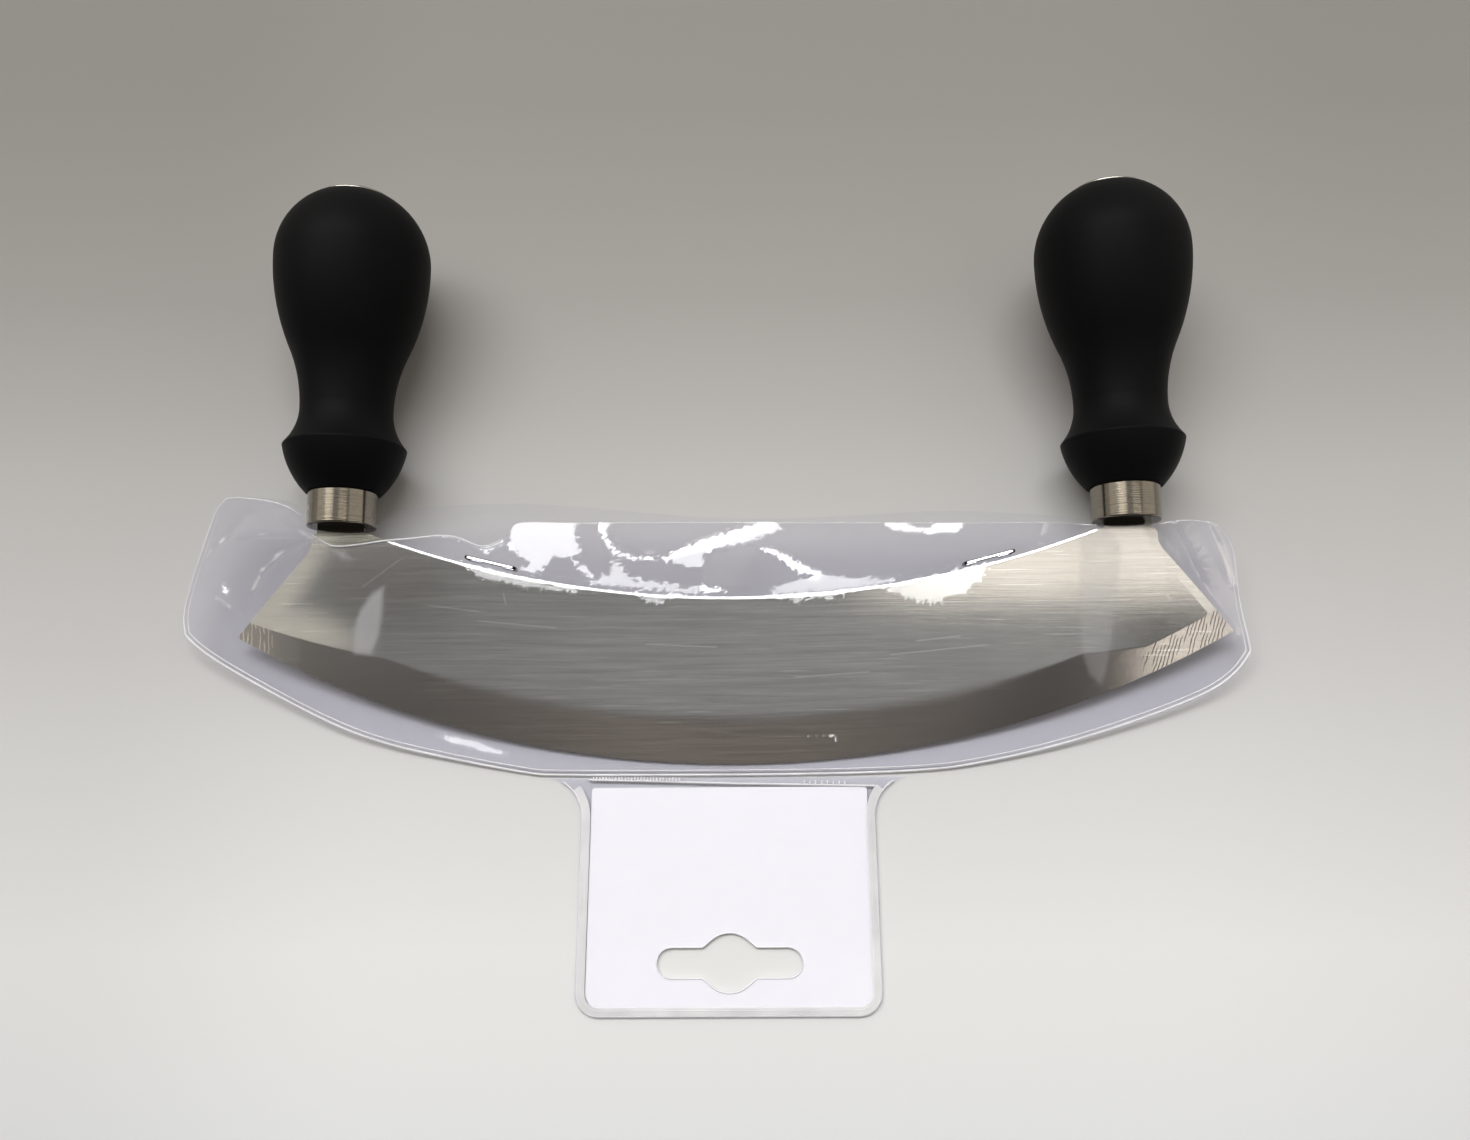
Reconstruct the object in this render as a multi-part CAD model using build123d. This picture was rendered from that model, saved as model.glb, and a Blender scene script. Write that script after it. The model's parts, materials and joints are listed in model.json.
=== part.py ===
from build123d import *
import math
import os

# A two-handled mezzaluna lying in its clear sheath. Lengths are in millimetres.
# The knife and the sheath's pocket are drawn in the blade's own frame: X along the chord, Y from the
# edge towards the handles, Z square to the blade, with zero at the edge's lowest point in mid thickness.
# They are then tilted about the fold line, so that the collars and the sheath's rim touch the table.

# Blade
blade_span = 230.0
tip_rise = 29.5
blade_thickness = 1.6
edge_thickness = 0.2
bevel_width = 10.0
back_height = 38.0
shoulder_height = 53.9
shoulder_outset = 6.7
shoulder_inset = 6.0
shoulder_corner_radius = 1.6
side_upright = 3.9
side_fillet_radius = 5.0
side_fillet_limit_share = 0.9
back_fillet_radius = 6.0
tang_inset = 23.1
neck_width = 11.0
neck_length = 1.3
tang_width = 5.0
rivet_head_radius = 3.2
rivet_head_height = 0.7
rivet_head_bevel = 0.35

# Ferrule
ferrule_radius = 7.95
ferrule_length = 8.2
ferrule_wall = 0.7
ferrule_floor = 0.8
ferrule_edge_rounding = 0.45
ferrule_rim_bevel = 0.2

# Handle, measured from the ferrule's upper rim
handle_length = 72.6
seat_radius = 8.7
collar_radius = 14.2
collar_height = 10.9
collar_bulge = 0.9
collar_edge_rounding = 0.45
neck_radius = 10.7
neck_height = 20.1
swell_share = 0.4
bulb_radius = 18.3
bulb_below_end = 15.5
handle_end_bevel = 0.3

# End cap
cap_radius = 9.0
cap_thickness = 1.2
cap_seat_depth = 0.4
cap_edge_bevel = 0.3

# Sheath
film_thickness = 0.3
film_clearance = 0.3
weld_width = 2.0
fold_drop = 3.0
fold_setback = 0.25
fold_edge_thickness = 0.1
fold_bevel_length = 0.9
side_corner_radius = 5.0
mouth_corner_radius = 3.5

# The sheath's outline, as steps outwards and upwards from the blade: its rim stands off the edge,
# its low and side corners stand off the tips, and its mouth stands off the ferrules' upper rims
rim_place_share = 0.7
left_rim_margin = 9.3
right_rim_margin = 8.8
left_low_step = (4.0, -6.0)
left_side_step = (11.6, 5.5)
left_top_step = (29.7, 0.0)
right_low_step = (-1.5, -11.3)
right_side_step = (3.4, -4.0)
right_top_step = (23.9, -9.6)
left_mouth_step = (-11.9, -1.6)
right_mouth_step = (-11.9, -5.9)
mouth_middle_step = (1.5, -6.7)
left_notch_drop = 2.0
right_notch_drop = 6.0
notch_width = 19.0
notch_drop = 0.9
notch_corner_radius = 2.5

# Header tab and card
tab_width = 65.4
tab_length = 51.0
tab_offset = -1.2
tab_root_radius = 9.0
tab_corner_radius = 5.0
card_margin = 1.7
card_drop = 2.3
card_thickness = 0.4
card_clearance = 0.05
card_corner_radius = 3.5
card_top_corner_radius = 0.8
slot_width = 31.7
slot_height = 6.4
slot_round_radius = 6.2
slot_shoulder_angle = 40.0
slot_from_end = 11.0

# Staples
staple_crown = 12.2
staple_wire_width = 0.7
staple_wire_thickness = 0.5
left_staple_inset = 35.4
left_staple_rise = 1.75
right_staple_inset = 32.5
right_staple_rise = 1.45
staple_bend_radius = 0.35
staple_clinch = 3.2
staple_lift = 0.05
staple_hole_clearance = 0.05

# Fits
tang_clearance = 0.1
ferrule_fit = 0.05
seat_gap = 0.05
cap_fit = 0.05
cut_overrun = 20.0

tip = blade_span / 2
edge_radius = (tip**2 + tip_rise**2) / (2 * tip_rise)
tang_x = tip - tang_inset
shoulder_out = tang_x + shoulder_outset
shoulder_in = tang_x - shoulder_inset
back_sagitta = shoulder_height - back_height
back_radius = (shoulder_in**2 + back_sagitta**2) / (2 * back_sagitta)
ferrule_base = shoulder_height + neck_length
ferrule_top = ferrule_base + ferrule_length
bore_radius = ferrule_radius - ferrule_wall
nose_base = ferrule_base + ferrule_floor + seat_gap
handle_end = ferrule_top + handle_length
cap_top = handle_end - cap_seat_depth + cap_thickness
pocket_half_gap = blade_thickness / 2 + film_clearance
pocket_half_depth = pocket_half_gap + film_thickness
fold_y = -fold_drop
collar_reach = ferrule_top + collar_height + fold_drop
tilt_lever = math.hypot(collar_reach, collar_radius)
tilt = math.degrees(math.atan2(collar_radius, collar_reach) - math.asin(film_thickness / tilt_lever))


def corner(face, x, y):
    return face.vertices().sort_by_distance(Vector(x, y, 0))[0]


def slab(face, low, high):
    """A prism on a face, from height low to height high."""
    return Pos(0, 0, low) * extrude(face, amount=high - low)


def box_between(x_range, y_range, z_range):
    sizes = [high - low for low, high in (x_range, y_range, z_range)]
    middles = [(high + low) / 2 for low, high in (x_range, y_range, z_range)]
    return Pos(*middles) * Box(*sizes)


def mirrored(points):
    return [(-x, y) for x, y in reversed(points)]


def edge_height(x):
    """How far the edge has risen at x, above its lowest point."""
    return edge_radius - math.sqrt(edge_radius**2 - x**2)


def back_rise(x):
    """The height of the blade's concave back at x."""
    return back_height + back_radius - math.sqrt(back_radius**2 - x**2)


def turned(profile, x=0.0):
    """A body of revolution about the tang's line, from a face drawn as radius against height."""
    return Pos(x, 0, 0) * revolve(profile, axis=Axis.Y)


# Blade


def blade_outline():
    knee = (shoulder_out, shoulder_height - side_upright)
    right = [(tip, tip_rise), knee, (shoulder_out, shoulder_height), (shoulder_in, shoulder_height)]
    edge = ThreePointArc((-tip, tip_rise), (0, 0), (tip, tip_rise))
    back = ThreePointArc(right[-1], (0, back_height), mirrored(right)[0])
    face = make_face([edge, Polyline(*right), back, Polyline(*mirrored(right))])
    lean = math.atan2(tip - shoulder_out, knee[1] - tip_rise)
    upright = side_upright - shoulder_corner_radius
    side_fillet = min(side_fillet_radius, side_fillet_limit_share * upright / math.tan(abs(lean) / 2))
    for side in (-1, 1):
        face = fillet(corner(face, side * shoulder_out, shoulder_height), shoulder_corner_radius)
        face = fillet(corner(face, side * knee[0], knee[1]), side_fillet)
        face = fillet(corner(face, side * shoulder_in, shoulder_height), back_fillet_radius)
    return face


def tang_outline(x):
    neck_base = shoulder_height - shoulder_corner_radius
    neck_top = nose_base - seat_gap
    neck = Pos(x, (neck_base + neck_top) / 2) * Rectangle(neck_width, neck_top - neck_base)
    tang = Pos(x, (neck_base + cap_top) / 2) * Rectangle(tang_width, cap_top - neck_base)
    return neck + tang


def bevel_cutter():
    """The ring that the grinding takes off one side, turned about the edge arc's centre."""
    half = blade_thickness / 2
    slope = (half - edge_thickness / 2) / bevel_width
    inner = edge_radius - bevel_width
    outer = edge_radius + bevel_width
    low = half - slope * (outer - inner)
    ring = make_face(Polyline((inner, half), (outer, low), (outer, half + bevel_width), (inner, half), close=True))
    return Pos(0, edge_radius, 0) * revolve(Plane.XZ * ring, axis=Axis.Z)


def rivet_head(x):
    head = turned(Pos(rivet_head_radius / 2, cap_top + rivet_head_height / 2)
                  * Rectangle(rivet_head_radius, rivet_head_height), x)
    return chamfer(head.edges().sort_by(Axis.Y)[-1], rivet_head_bevel)


def make_blade():
    face = blade_outline()
    for side in (-1, 1):
        face += tang_outline(side * tang_x)
    plate = slab(face, -blade_thickness / 2, blade_thickness / 2)
    cutter = bevel_cutter()
    plate -= cutter
    plate -= mirror(cutter, about=Plane.XY)
    for side in (-1, 1):
        plate += rivet_head(side * tang_x)
    return plate


# Handles, ferrules and caps


def handle_profile():
    seat = (seat_radius, ferrule_top)
    crest = (collar_radius, ferrule_top + collar_height)
    waist = (neck_radius, ferrule_top + neck_height)
    bulb_centre = handle_end - bulb_below_end
    bulb = (bulb_radius, bulb_centre)
    swell = (neck_radius + swell_share * (bulb_radius - neck_radius),
             waist[1] + swell_share * (bulb_centre - waist[1]))
    end_radius = math.sqrt(bulb_radius**2 - bulb_below_end**2)
    end_turn = math.asin(bulb_below_end / bulb_radius) / 2
    dome = (bulb_radius * math.cos(end_turn), bulb_centre + bulb_radius * math.sin(end_turn))
    end = (end_radius, handle_end)
    nose_radius = bore_radius - ferrule_fit
    nose = Polyline(end, (0, handle_end), (0, nose_base), (nose_radius, nose_base), (nose_radius, ferrule_top), seat)
    outline = [
        nose,
        SagittaArc(seat, crest, -collar_bulge),
        TangentArc(waist, crest, tangent=(0, -1)),
        TangentArc(waist, swell, tangent=(0, 1)),
        TangentArc(bulb, swell, tangent=(0, -1)),
        ThreePointArc(bulb, dome, end),
    ]
    return make_face(outline)


def make_handle(x):
    body = turned(handle_profile(), x)
    crest_height = ferrule_top + collar_height
    crest = body.edges().filter_by(GeomType.CIRCLE).sort_by(lambda edge: abs(edge.center().Y - crest_height))[0]
    body = fillet(crest, collar_edge_rounding)
    end = body.edges().filter_by(GeomType.CIRCLE).sort_by(lambda edge: abs(edge.center().Y - handle_end))[0]
    body = chamfer(end, handle_end_bevel)
    seat_radius_of_cap = cap_radius + cap_fit
    seat = turned(Pos(seat_radius_of_cap / 2, handle_end) * Rectangle(seat_radius_of_cap, 2 * cap_seat_depth), x)
    half_width = tang_width / 2 + tang_clearance
    half_depth = blade_thickness / 2 + tang_clearance
    slot = box_between((x - half_width, x + half_width), (nose_base - cut_overrun, handle_end + cut_overrun),
                       (-half_depth, half_depth))
    return body - seat - slot


def make_ferrule(x):
    outer = turned(Pos(ferrule_radius / 2, ferrule_base + ferrule_length / 2)
                   * Rectangle(ferrule_radius, ferrule_length), x)
    outer = fillet(outer.edges().sort_by(Axis.Y)[0], ferrule_edge_rounding)
    outer = chamfer(outer.edges().sort_by(Axis.Y)[-1], ferrule_rim_bevel)
    bore_length = ferrule_length - ferrule_floor
    bore = turned(Pos(bore_radius / 2, ferrule_base + ferrule_floor + bore_length / 2)
                  * Rectangle(bore_radius, bore_length), x)
    half_width = neck_width / 2 + tang_clearance
    half_depth = blade_thickness / 2 + tang_clearance
    slot = box_between((x - half_width, x + half_width), (ferrule_base - cut_overrun, ferrule_base + ferrule_length),
                       (-half_depth, half_depth))
    return outer - bore - slot


def make_end_cap(x):
    middle = cap_top - cap_thickness / 2
    disc = turned(Pos(cap_radius / 2, middle) * Rectangle(cap_radius, cap_thickness), x)
    disc = chamfer(disc.edges().sort_by(Axis.Y)[-1], cap_edge_bevel)
    half_width = tang_width / 2 + tang_clearance
    half_depth = blade_thickness / 2 + tang_clearance
    slot = box_between((x - half_width, x + half_width), (middle - cap_thickness, cap_top),
                       (-half_depth, half_depth))
    return disc - slot


# Sheath


def fold_ends():
    """Where the header tab's root arcs meet the fold line, left and right."""
    reach = tab_root_radius - math.sqrt(tab_root_radius**2 - (tab_root_radius - fold_setback) ** 2)
    half = tab_width / 2 + reach
    return tab_offset - half, tab_offset + half


def off_tip(side, step):
    """A corner of the sheath, from a step off the blade's tip on that side."""
    return side * (tip + step[0]), tip_rise + step[1]


def off_ferrule(side, step, raise_mouth):
    """A corner of the mouth, from a step off the ferrule's upper rim on that side."""
    return side * (tang_x + step[0]), ferrule_top + step[1] + raise_mouth


def pocket_outline(raise_mouth=0.0):
    """The pocket's outer edge, with the mouth lifted for a cutter that has to run out of it."""
    fold = fold_y + fold_setback
    fold_left, fold_right = fold_ends()
    low_left, low_right = (fold_left, fold), (fold_right, fold)
    rim_x = rim_place_share * tip
    left_rim = (-rim_x, edge_height(rim_x) - left_rim_margin)
    right_rim = (rim_x, edge_height(rim_x) - right_rim_margin)
    left_low, left_side = off_tip(-1, left_low_step), off_tip(-1, left_side_step)
    right_low, right_side = off_tip(1, right_low_step), off_tip(1, right_side_step)
    left_top = off_ferrule(-1, left_top_step, raise_mouth)
    right_top = off_ferrule(1, right_top_step, raise_mouth)
    left_lip = off_ferrule(-1, left_mouth_step, raise_mouth)
    right_lip = off_ferrule(1, right_mouth_step, raise_mouth)
    middle = (mouth_middle_step[0], ferrule_top + mouth_middle_step[1] + raise_mouth)
    edges = [
        Line(low_left, low_right),
        ThreePointArc(low_right, right_rim, right_low),
        Polyline(right_low, right_side, right_top, off_ferrule(1, (0, -right_notch_drop), raise_mouth), right_lip),
        ThreePointArc(right_lip, middle, left_lip),
        Polyline(left_lip, off_ferrule(-1, (0, -left_notch_drop), raise_mouth), left_top, left_side, left_low),
        ThreePointArc(left_low, left_rim, low_left),
    ]
    face = make_face(edges)
    for point in (left_side, left_low, right_side, right_low):
        face = fillet(corner(face, *point), side_corner_radius)
    for point in (left_top, right_top):
        face = fillet(corner(face, *point), mouth_corner_radius)
    return face


def belly(face, depth):
    """A low mound on a face, which slopes down along the edge as the blade's bevel does."""
    slope = (blade_thickness - edge_thickness) / 2 / bevel_width
    foot = edge_radius + fold_drop
    inner = edge_radius - bevel_width
    low = depth - slope * (foot - inner)
    profile = Polyline((0, 0), (foot, 0), (foot, low), (inner, depth), (0, depth), close=True)
    dish = Pos(0, edge_radius, 0) * revolve(Plane.XZ * make_face(profile), axis=Axis.Z)
    return slab(face, 0, depth) & dish


def notches(low, high):
    """The cut-outs in the mouth that clear the ferrules."""
    bottom = ferrule_base - notch_drop
    height = cut_overrun
    cutters = []
    for side in (-1, 1):
        face = Pos(side * tang_x, bottom + height / 2) * Rectangle(notch_width, height)
        low_corners = face.vertices().sort_by(Axis.Y)[:2]
        cutters.append(slab(fillet(low_corners, notch_corner_radius), low, high))
    return cutters


def fold_bevels():
    """The wedges that thin a welded edge towards the fold, drawn from the fold along +Y."""
    near = fold_setback - fold_edge_thickness
    far = fold_setback + fold_bevel_length
    wedges = []
    for side in (-1, 1):
        thin = side * fold_edge_thickness / 2
        full = side * film_thickness
        face = make_face(Polyline((near, thin), (fold_setback, thin), (far, full), (far, 2 * full),
                                  (near, 2 * full), close=True))
        prism = extrude(Plane.YZ * face, amount=blade_span / 2, both=True)
        wedges.append(prism)
    return wedges


def staple_frames():
    """Each staple's centre, with X along its crown: it follows the slope of the blade's back."""
    frames = []
    for x, rise in ((left_staple_inset - tang_x, left_staple_rise), (tang_x - right_staple_inset, right_staple_rise)):
        slope = math.degrees(math.asin(x / back_radius))
        frames.append(Pos(x, back_rise(x) + rise, 0) * Rot(0, 0, slope))
    return frames


def staple_holes():
    width = staple_wire_width + 2 * staple_hole_clearance
    thickness = staple_wire_thickness + 2 * staple_hole_clearance
    reach = (staple_crown - staple_wire_thickness) / 2
    length = 2 * pocket_half_depth + cut_overrun
    return [frame * Pos(side * reach, 0, 0) * Box(thickness, width, length)
            for frame in staple_frames() for side in (-1, 1)]


def make_pocket_film():
    """The front film; the rear one is its mirror image in the blade's plane."""
    outline = pocket_outline()
    tall_outline = pocket_outline(raise_mouth=cut_overrun)
    outside = belly(offset(tall_outline, film_thickness - weld_width), pocket_half_depth)
    inside = belly(offset(tall_outline, -weld_width), pocket_half_gap)
    film = slab(outline, 0, film_thickness) + (outside & slab(outline, 0, pocket_half_depth)) - inside
    for cutter in notches(-pocket_half_depth, 2 * pocket_half_depth):
        film -= cutter
    for wedge in fold_bevels():
        film -= Pos(0, fold_y, 0) * wedge
    for hole in staple_holes():
        film -= hole
    return film


def make_staple(frame):
    """A flat wire staple: crown over the front film, legs through both films, points clinched behind."""
    half = (staple_crown - staple_wire_thickness) / 2
    lie = pocket_half_depth + staple_lift + staple_wire_thickness / 2
    inward = half - staple_clinch
    path = FilletPolyline((-inward, 0, -lie), (-half, 0, -lie), (-half, 0, lie), (half, 0, lie), (half, 0, -lie),
                          (inward, 0, -lie), radius=staple_bend_radius)
    start = Plane(origin=path @ 0, x_dir=(0, 1, 0), z_dir=path % 0)
    return frame * sweep(start * Rectangle(staple_wire_width, staple_wire_thickness), path=path)


# Header tab, drawn lying flat: its films' joint plane is one film above the table


def tab_outline():
    half = tab_width / 2
    root = tab_root_radius
    fold_left, fold_right = fold_ends()
    top = -fold_setback
    quarter = root * math.sqrt(0.5)
    right_root = ThreePointArc((tab_offset + half, -root),
                               (tab_offset + half + root - quarter, -root + quarter), (fold_right, top))
    left_root = ThreePointArc((fold_left, top), (tab_offset - half - root + quarter, -root + quarter),
                              (tab_offset - half, -root))
    sides = Polyline((tab_offset - half, -root), (tab_offset - half, -tab_length),
                     (tab_offset + half, -tab_length), (tab_offset + half, -root))
    face = make_face([left_root, sides, right_root, Line((fold_right, top), (fold_left, top))])
    for side in (-1, 1):
        face = fillet(corner(face, tab_offset + side * half, -tab_length), tab_corner_radius)
    return face


def hang_slot(low, high):
    centre = -tab_length + slot_from_end
    wings = Pos(tab_offset, centre) * SlotOverall(slot_width, slot_height)
    middle = Pos(tab_offset, centre) * Circle(slot_round_radius)
    lean = math.radians(slot_shoulder_angle)
    touch = (slot_round_radius * math.sin(lean), slot_round_radius * math.cos(lean))
    foot = (touch[0] + (touch[1] - slot_height / 2) / math.tan(lean), slot_height / 2)
    right = [(foot[0], -foot[1]), foot, touch]
    shoulders = make_face(Polyline(*right, *[(-x, y) for x, y in reversed(right)],
                                   (-touch[0], -touch[1]), (touch[0], -touch[1]), close=True))
    return slab(wings + middle + Pos(tab_offset, centre) * shoulders, low, high)


def card_outline(grow):
    """The card, grown all round: nearly square corners at the fold, rounder ones at the free end."""
    width = tab_width - 2 * card_margin + 2 * grow
    height = tab_length - card_margin - card_drop + 2 * grow
    middle = (-card_drop - tab_length + card_margin) / 2
    face = Pos(tab_offset, middle) * Rectangle(width, height)
    corners = face.vertices().sort_by(Axis.Y)
    face = fillet(corners[:2], card_corner_radius + grow)
    return fillet(face.vertices().sort_by(Axis.Y)[-2:], card_top_corner_radius + grow)


def cut_tab(body):
    body -= hang_slot(-film_thickness, cut_overrun)
    for wedge in fold_bevels():
        body -= Pos(0, 0, film_thickness) * Rot(0, 0, 180) * wedge
    return body


def make_tab_rear_film():
    return cut_tab(slab(tab_outline(), 0, film_thickness))


def make_tab_front_film():
    card_space = card_thickness + 2 * card_clearance
    face = slab(tab_outline(), film_thickness, 2 * film_thickness)
    panel = slab(card_outline(film_thickness + card_clearance), film_thickness, 2 * film_thickness + card_space)
    space = slab(card_outline(card_clearance), film_thickness, film_thickness + card_space)
    return cut_tab(face + panel - space)


def make_header_card():
    low = film_thickness + card_clearance
    return slab(card_outline(0.0), low, low + card_thickness) - hang_slot(0, cut_overrun)


# The whole part


def laid_down(shape):
    """From the blade's frame to the table, turned about the fold line."""
    return Pos(0, 0, film_thickness) * Rot(tilt, 0, 0) * Pos(0, fold_drop, 0) * shape


def build_nodes():
    front_film = make_pocket_film()
    drawn = {
        "blade": make_blade(),
        "pocket_front_film": front_film,
        "pocket_rear_film": mirror(front_film, about=Plane.XY),
    }
    for name, side in (("left", -1), ("right", 1)):
        drawn[f"{name}_handle"] = make_handle(side * tang_x)
        drawn[f"{name}_ferrule"] = make_ferrule(side * tang_x)
        drawn[f"{name}_end_cap"] = make_end_cap(side * tang_x)
    for name, frame in zip(("left", "right"), staple_frames()):
        drawn[f"{name}_staple"] = make_staple(frame)
    laid = {name: laid_down(shape) for name, shape in drawn.items()}
    laid["tab_rear_film"] = make_tab_rear_film()
    laid["tab_front_film"] = make_tab_front_film()
    laid["header_card"] = make_header_card()
    return laid


def base_shift(shapes):
    """The move that puts the origin at the middle of the underside of the whole part's box."""
    boxes = [shape.bounding_box() for shape in shapes]
    low_x, high_x = min(box.min.X for box in boxes), max(box.max.X for box in boxes)
    low_y, high_y = min(box.min.Y for box in boxes), max(box.max.Y for box in boxes)
    return Vector(-(low_x + high_x) / 2, -(low_y + high_y) / 2, -min(box.min.Z for box in boxes))


nodes = build_nodes()
shift = base_shift(nodes.values())
os.makedirs("parts", exist_ok=True)
for node_name, shape in nodes.items():
    export_step(Pos(shift.X, shift.Y, shift.Z) * shape, f"parts/{node_name}.step")
print("tilt in degrees", round(tilt, 3), "shift", tuple(round(value, 3) for value in shift))
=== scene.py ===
import bpy
import bmesh
import json
import math
from functools import partial
import numpy as np
from mathutils import Matrix, Vector, noise


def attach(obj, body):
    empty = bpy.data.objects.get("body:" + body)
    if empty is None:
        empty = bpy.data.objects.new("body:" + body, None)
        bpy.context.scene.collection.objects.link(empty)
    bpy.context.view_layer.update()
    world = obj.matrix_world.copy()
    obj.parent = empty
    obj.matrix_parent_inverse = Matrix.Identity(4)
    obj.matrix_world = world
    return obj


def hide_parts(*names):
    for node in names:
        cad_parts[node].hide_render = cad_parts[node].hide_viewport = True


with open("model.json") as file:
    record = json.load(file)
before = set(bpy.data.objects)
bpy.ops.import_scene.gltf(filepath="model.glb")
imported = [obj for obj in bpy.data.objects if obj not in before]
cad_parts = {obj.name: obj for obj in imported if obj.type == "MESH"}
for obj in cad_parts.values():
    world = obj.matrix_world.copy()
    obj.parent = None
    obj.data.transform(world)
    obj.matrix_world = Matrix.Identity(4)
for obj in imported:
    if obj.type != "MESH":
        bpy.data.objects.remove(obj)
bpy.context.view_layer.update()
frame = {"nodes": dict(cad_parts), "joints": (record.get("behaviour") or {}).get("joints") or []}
nodes = frame["nodes"]
print("frame loaded:", len(nodes), "pieces")

# where the sheath lies: the blade's own plane, in mm, against the table
joints = {j["name"]: j for j in frame["joints"]}
slide = joints["sheath_play"]["axis"]
lean = math.atan2(slide[2], slide[1])
foldPoint = Vector(joints["tab_fold"]["pos_m"])
# the blade's sizes in mm, the tips' and the shoulders' places measured from its middle
blade = dict(tip=115.0, tipRise=29.5, edgeRadius=238.9, backHeight=38.0, shoulderIn=85.9, shoulderOut=98.6,
             shoulderHeight=53.9, kneeHeight=50.0, half=0.8, bevel=10.0, foldDrop=3.0, tabOffset=-1.2)


def onBlade(u, v, w):  # from mm in the blade's plane to metres on the table
    out, up = (v + blade["foldDrop"]) / 1000, w / 1000
    return Vector((foldPoint.x + (u - blade["tabOffset"]) / 1000,
                   foldPoint.y + out * math.cos(lean) - up * math.sin(lean),
                   foldPoint.z + out * math.sin(lean) + up * math.cos(lean)))


def onTab(x, y, z):  # from mm on the header tab, which lies flat
    return Vector((foldPoint.x + (x - blade["tabOffset"]) / 1000, foldPoint.y + y / 1000, z / 1000))


# shader helpers

def srgb(text):
    channels = [int(text[i:i + 2], 16) / 255 for i in (1, 3, 5)]
    return tuple(c / 12.92 if c <= 0.04045 else ((c + 0.055) / 1.055) ** 2.4 for c in channels) + (1.0,)


# "Math ADD" is a Math node set to ADD. Inputs come in the node's own order, or in a dictionary by name or number,
# and a node given as an input stands for its first output
def addNode(tree, kind, *inputs, **settings):
    kind, _, mode = kind.partition(" ")
    node = tree.nodes.new("ShaderNode" + kind)
    if mode:
        switches = [s for s in ("operation", "interpolation_type", "data_type") if hasattr(node, s)]
        setattr(node, switches[0], mode)
    for key, value in settings.items():
        setattr(node, key, value)
    named = inputs[0] if inputs and isinstance(inputs[0], dict) else dict(enumerate(inputs))
    for key, value in named.items():
        if isinstance(value, bpy.types.Node):
            value = value.outputs[0]
        if isinstance(value, bpy.types.NodeSocket):
            tree.links.new(value, node.inputs[key])
        else:
            node.inputs[key].default_value = value
    return node


def newMaterial(name):
    material = bpy.data.materials.new(name)
    material.use_nodes = True
    material.node_tree.nodes.clear()
    return material, partial(addNode, material.node_tree)


def newObject(name, data):
    item = bpy.data.objects.new(name, data)
    bpy.context.scene.collection.objects.link(item)
    return item


def setRamp(node, stops):
    ramp = node.color_ramp
    while len(ramp.elements) < len(stops):
        ramp.elements.new(0.5)
    for element, (place, colour) in zip(ramp.elements, stops):
        element.position = place
        element.color = colour
    return node


# camera

view = dict(place=(7.232, -86.908, 271.03), tiltBack=18.872, roll=-2.129, turn=1.782, lens=29.167)  # mm and degrees


def makeCamera():
    data = bpy.data.cameras.new("camera")
    camera = newObject("camera", data)
    data.sensor_width, data.lens, data.clip_start = 36.0, view["lens"], 0.01
    place = Matrix.Translation(Vector(view["place"]) / 1000)
    for name, axis in (("turn", "Z"), ("tiltBack", "X"), ("roll", "Z")):
        place = place @ Matrix.Rotation(math.radians(view[name]), 4, axis)
    camera.matrix_world = place
    bpy.context.scene.camera = camera


makeCamera()
bpy.context.scene.view_settings.view_transform = "Standard"
print("camera set")

# room light: a soft grey room, darker where the person stands, with pale walls left and right and a window
# behind, as the blade and the ferrules mirror it. Places are tangents off straight up: across is to the right,
# along is away from the viewer

room = dict(left="#999894", right="#b3b2ae", leftFrom=0.02, leftTo=-0.36,
            dark="#5c554d", darkFrom=-0.10, darkTo=-0.36, level=1.0)
walls = (  # across, along, soft border each way, colour, level
    ((-0.22, 0.16), (-0.60, -0.26), (0.14, 0.05), "#99928a", 1.0),
    ((-0.365, -0.25), (-0.070, 0.010), (0.035, 0.03), "#7c7872", 1.0),
    ((0.25, 0.404), (-0.38, -0.18), (0.06, 0.03), "#4a453f", 1.0),
    ((0.318, 0.60), (-0.20, -0.050), (0.05, 0.01), "#615e59", 1.0),
    ((0.11, 0.60), (-0.052, 0.014), (0.05, 0.004), "#fff6e6", 2.0),
    ((0.412, 0.60), (-0.16, -0.052), (0.004, 0.004), "#f8f0e2", 1.7),
    ((0.404, 0.60), (-0.42, -0.17), (0.006, 0.01), "#f8f1e4", 2.1),
    ((-0.60, -0.405), (-0.145, 0.006), (0.045, 0.01), "#f6eedc", 1.1),
    ((-0.60, -0.492), (-0.42, -0.145), (0.006, 0.01), "#f4eddb", 0.8),
    ((-0.24, 0.78), (0.024, 0.17), (0.03, 0.006), "#8f8a81", 0.8),
    ((0.80, 12.0), (0.024, 9.0), (0.05, 0.01), "#e4ddd0", 0.95),
    ((-2.6, -0.80), (0.024, 9.0), (0.30, 0.01), "#ece5d8", 1.0),
    ((-12.0, -2.6), (0.045, 9.0), (0.30, 0.01), "#ece5d8", 0.5),
    ((-0.80, -0.24), (0.024, 0.17), (0.04, 0.01), "#fff8ea", 2.4),
    ((-1.02, 0.42), (0.17, 0.64), (0.05, 0.05), "#ffffff", 1.7),  # the glow round the window
    ((-0.95, 0.36), (0.26, 0.56), (0.01, 0.01), "#ffffff", 8.1),  # the window
)


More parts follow.
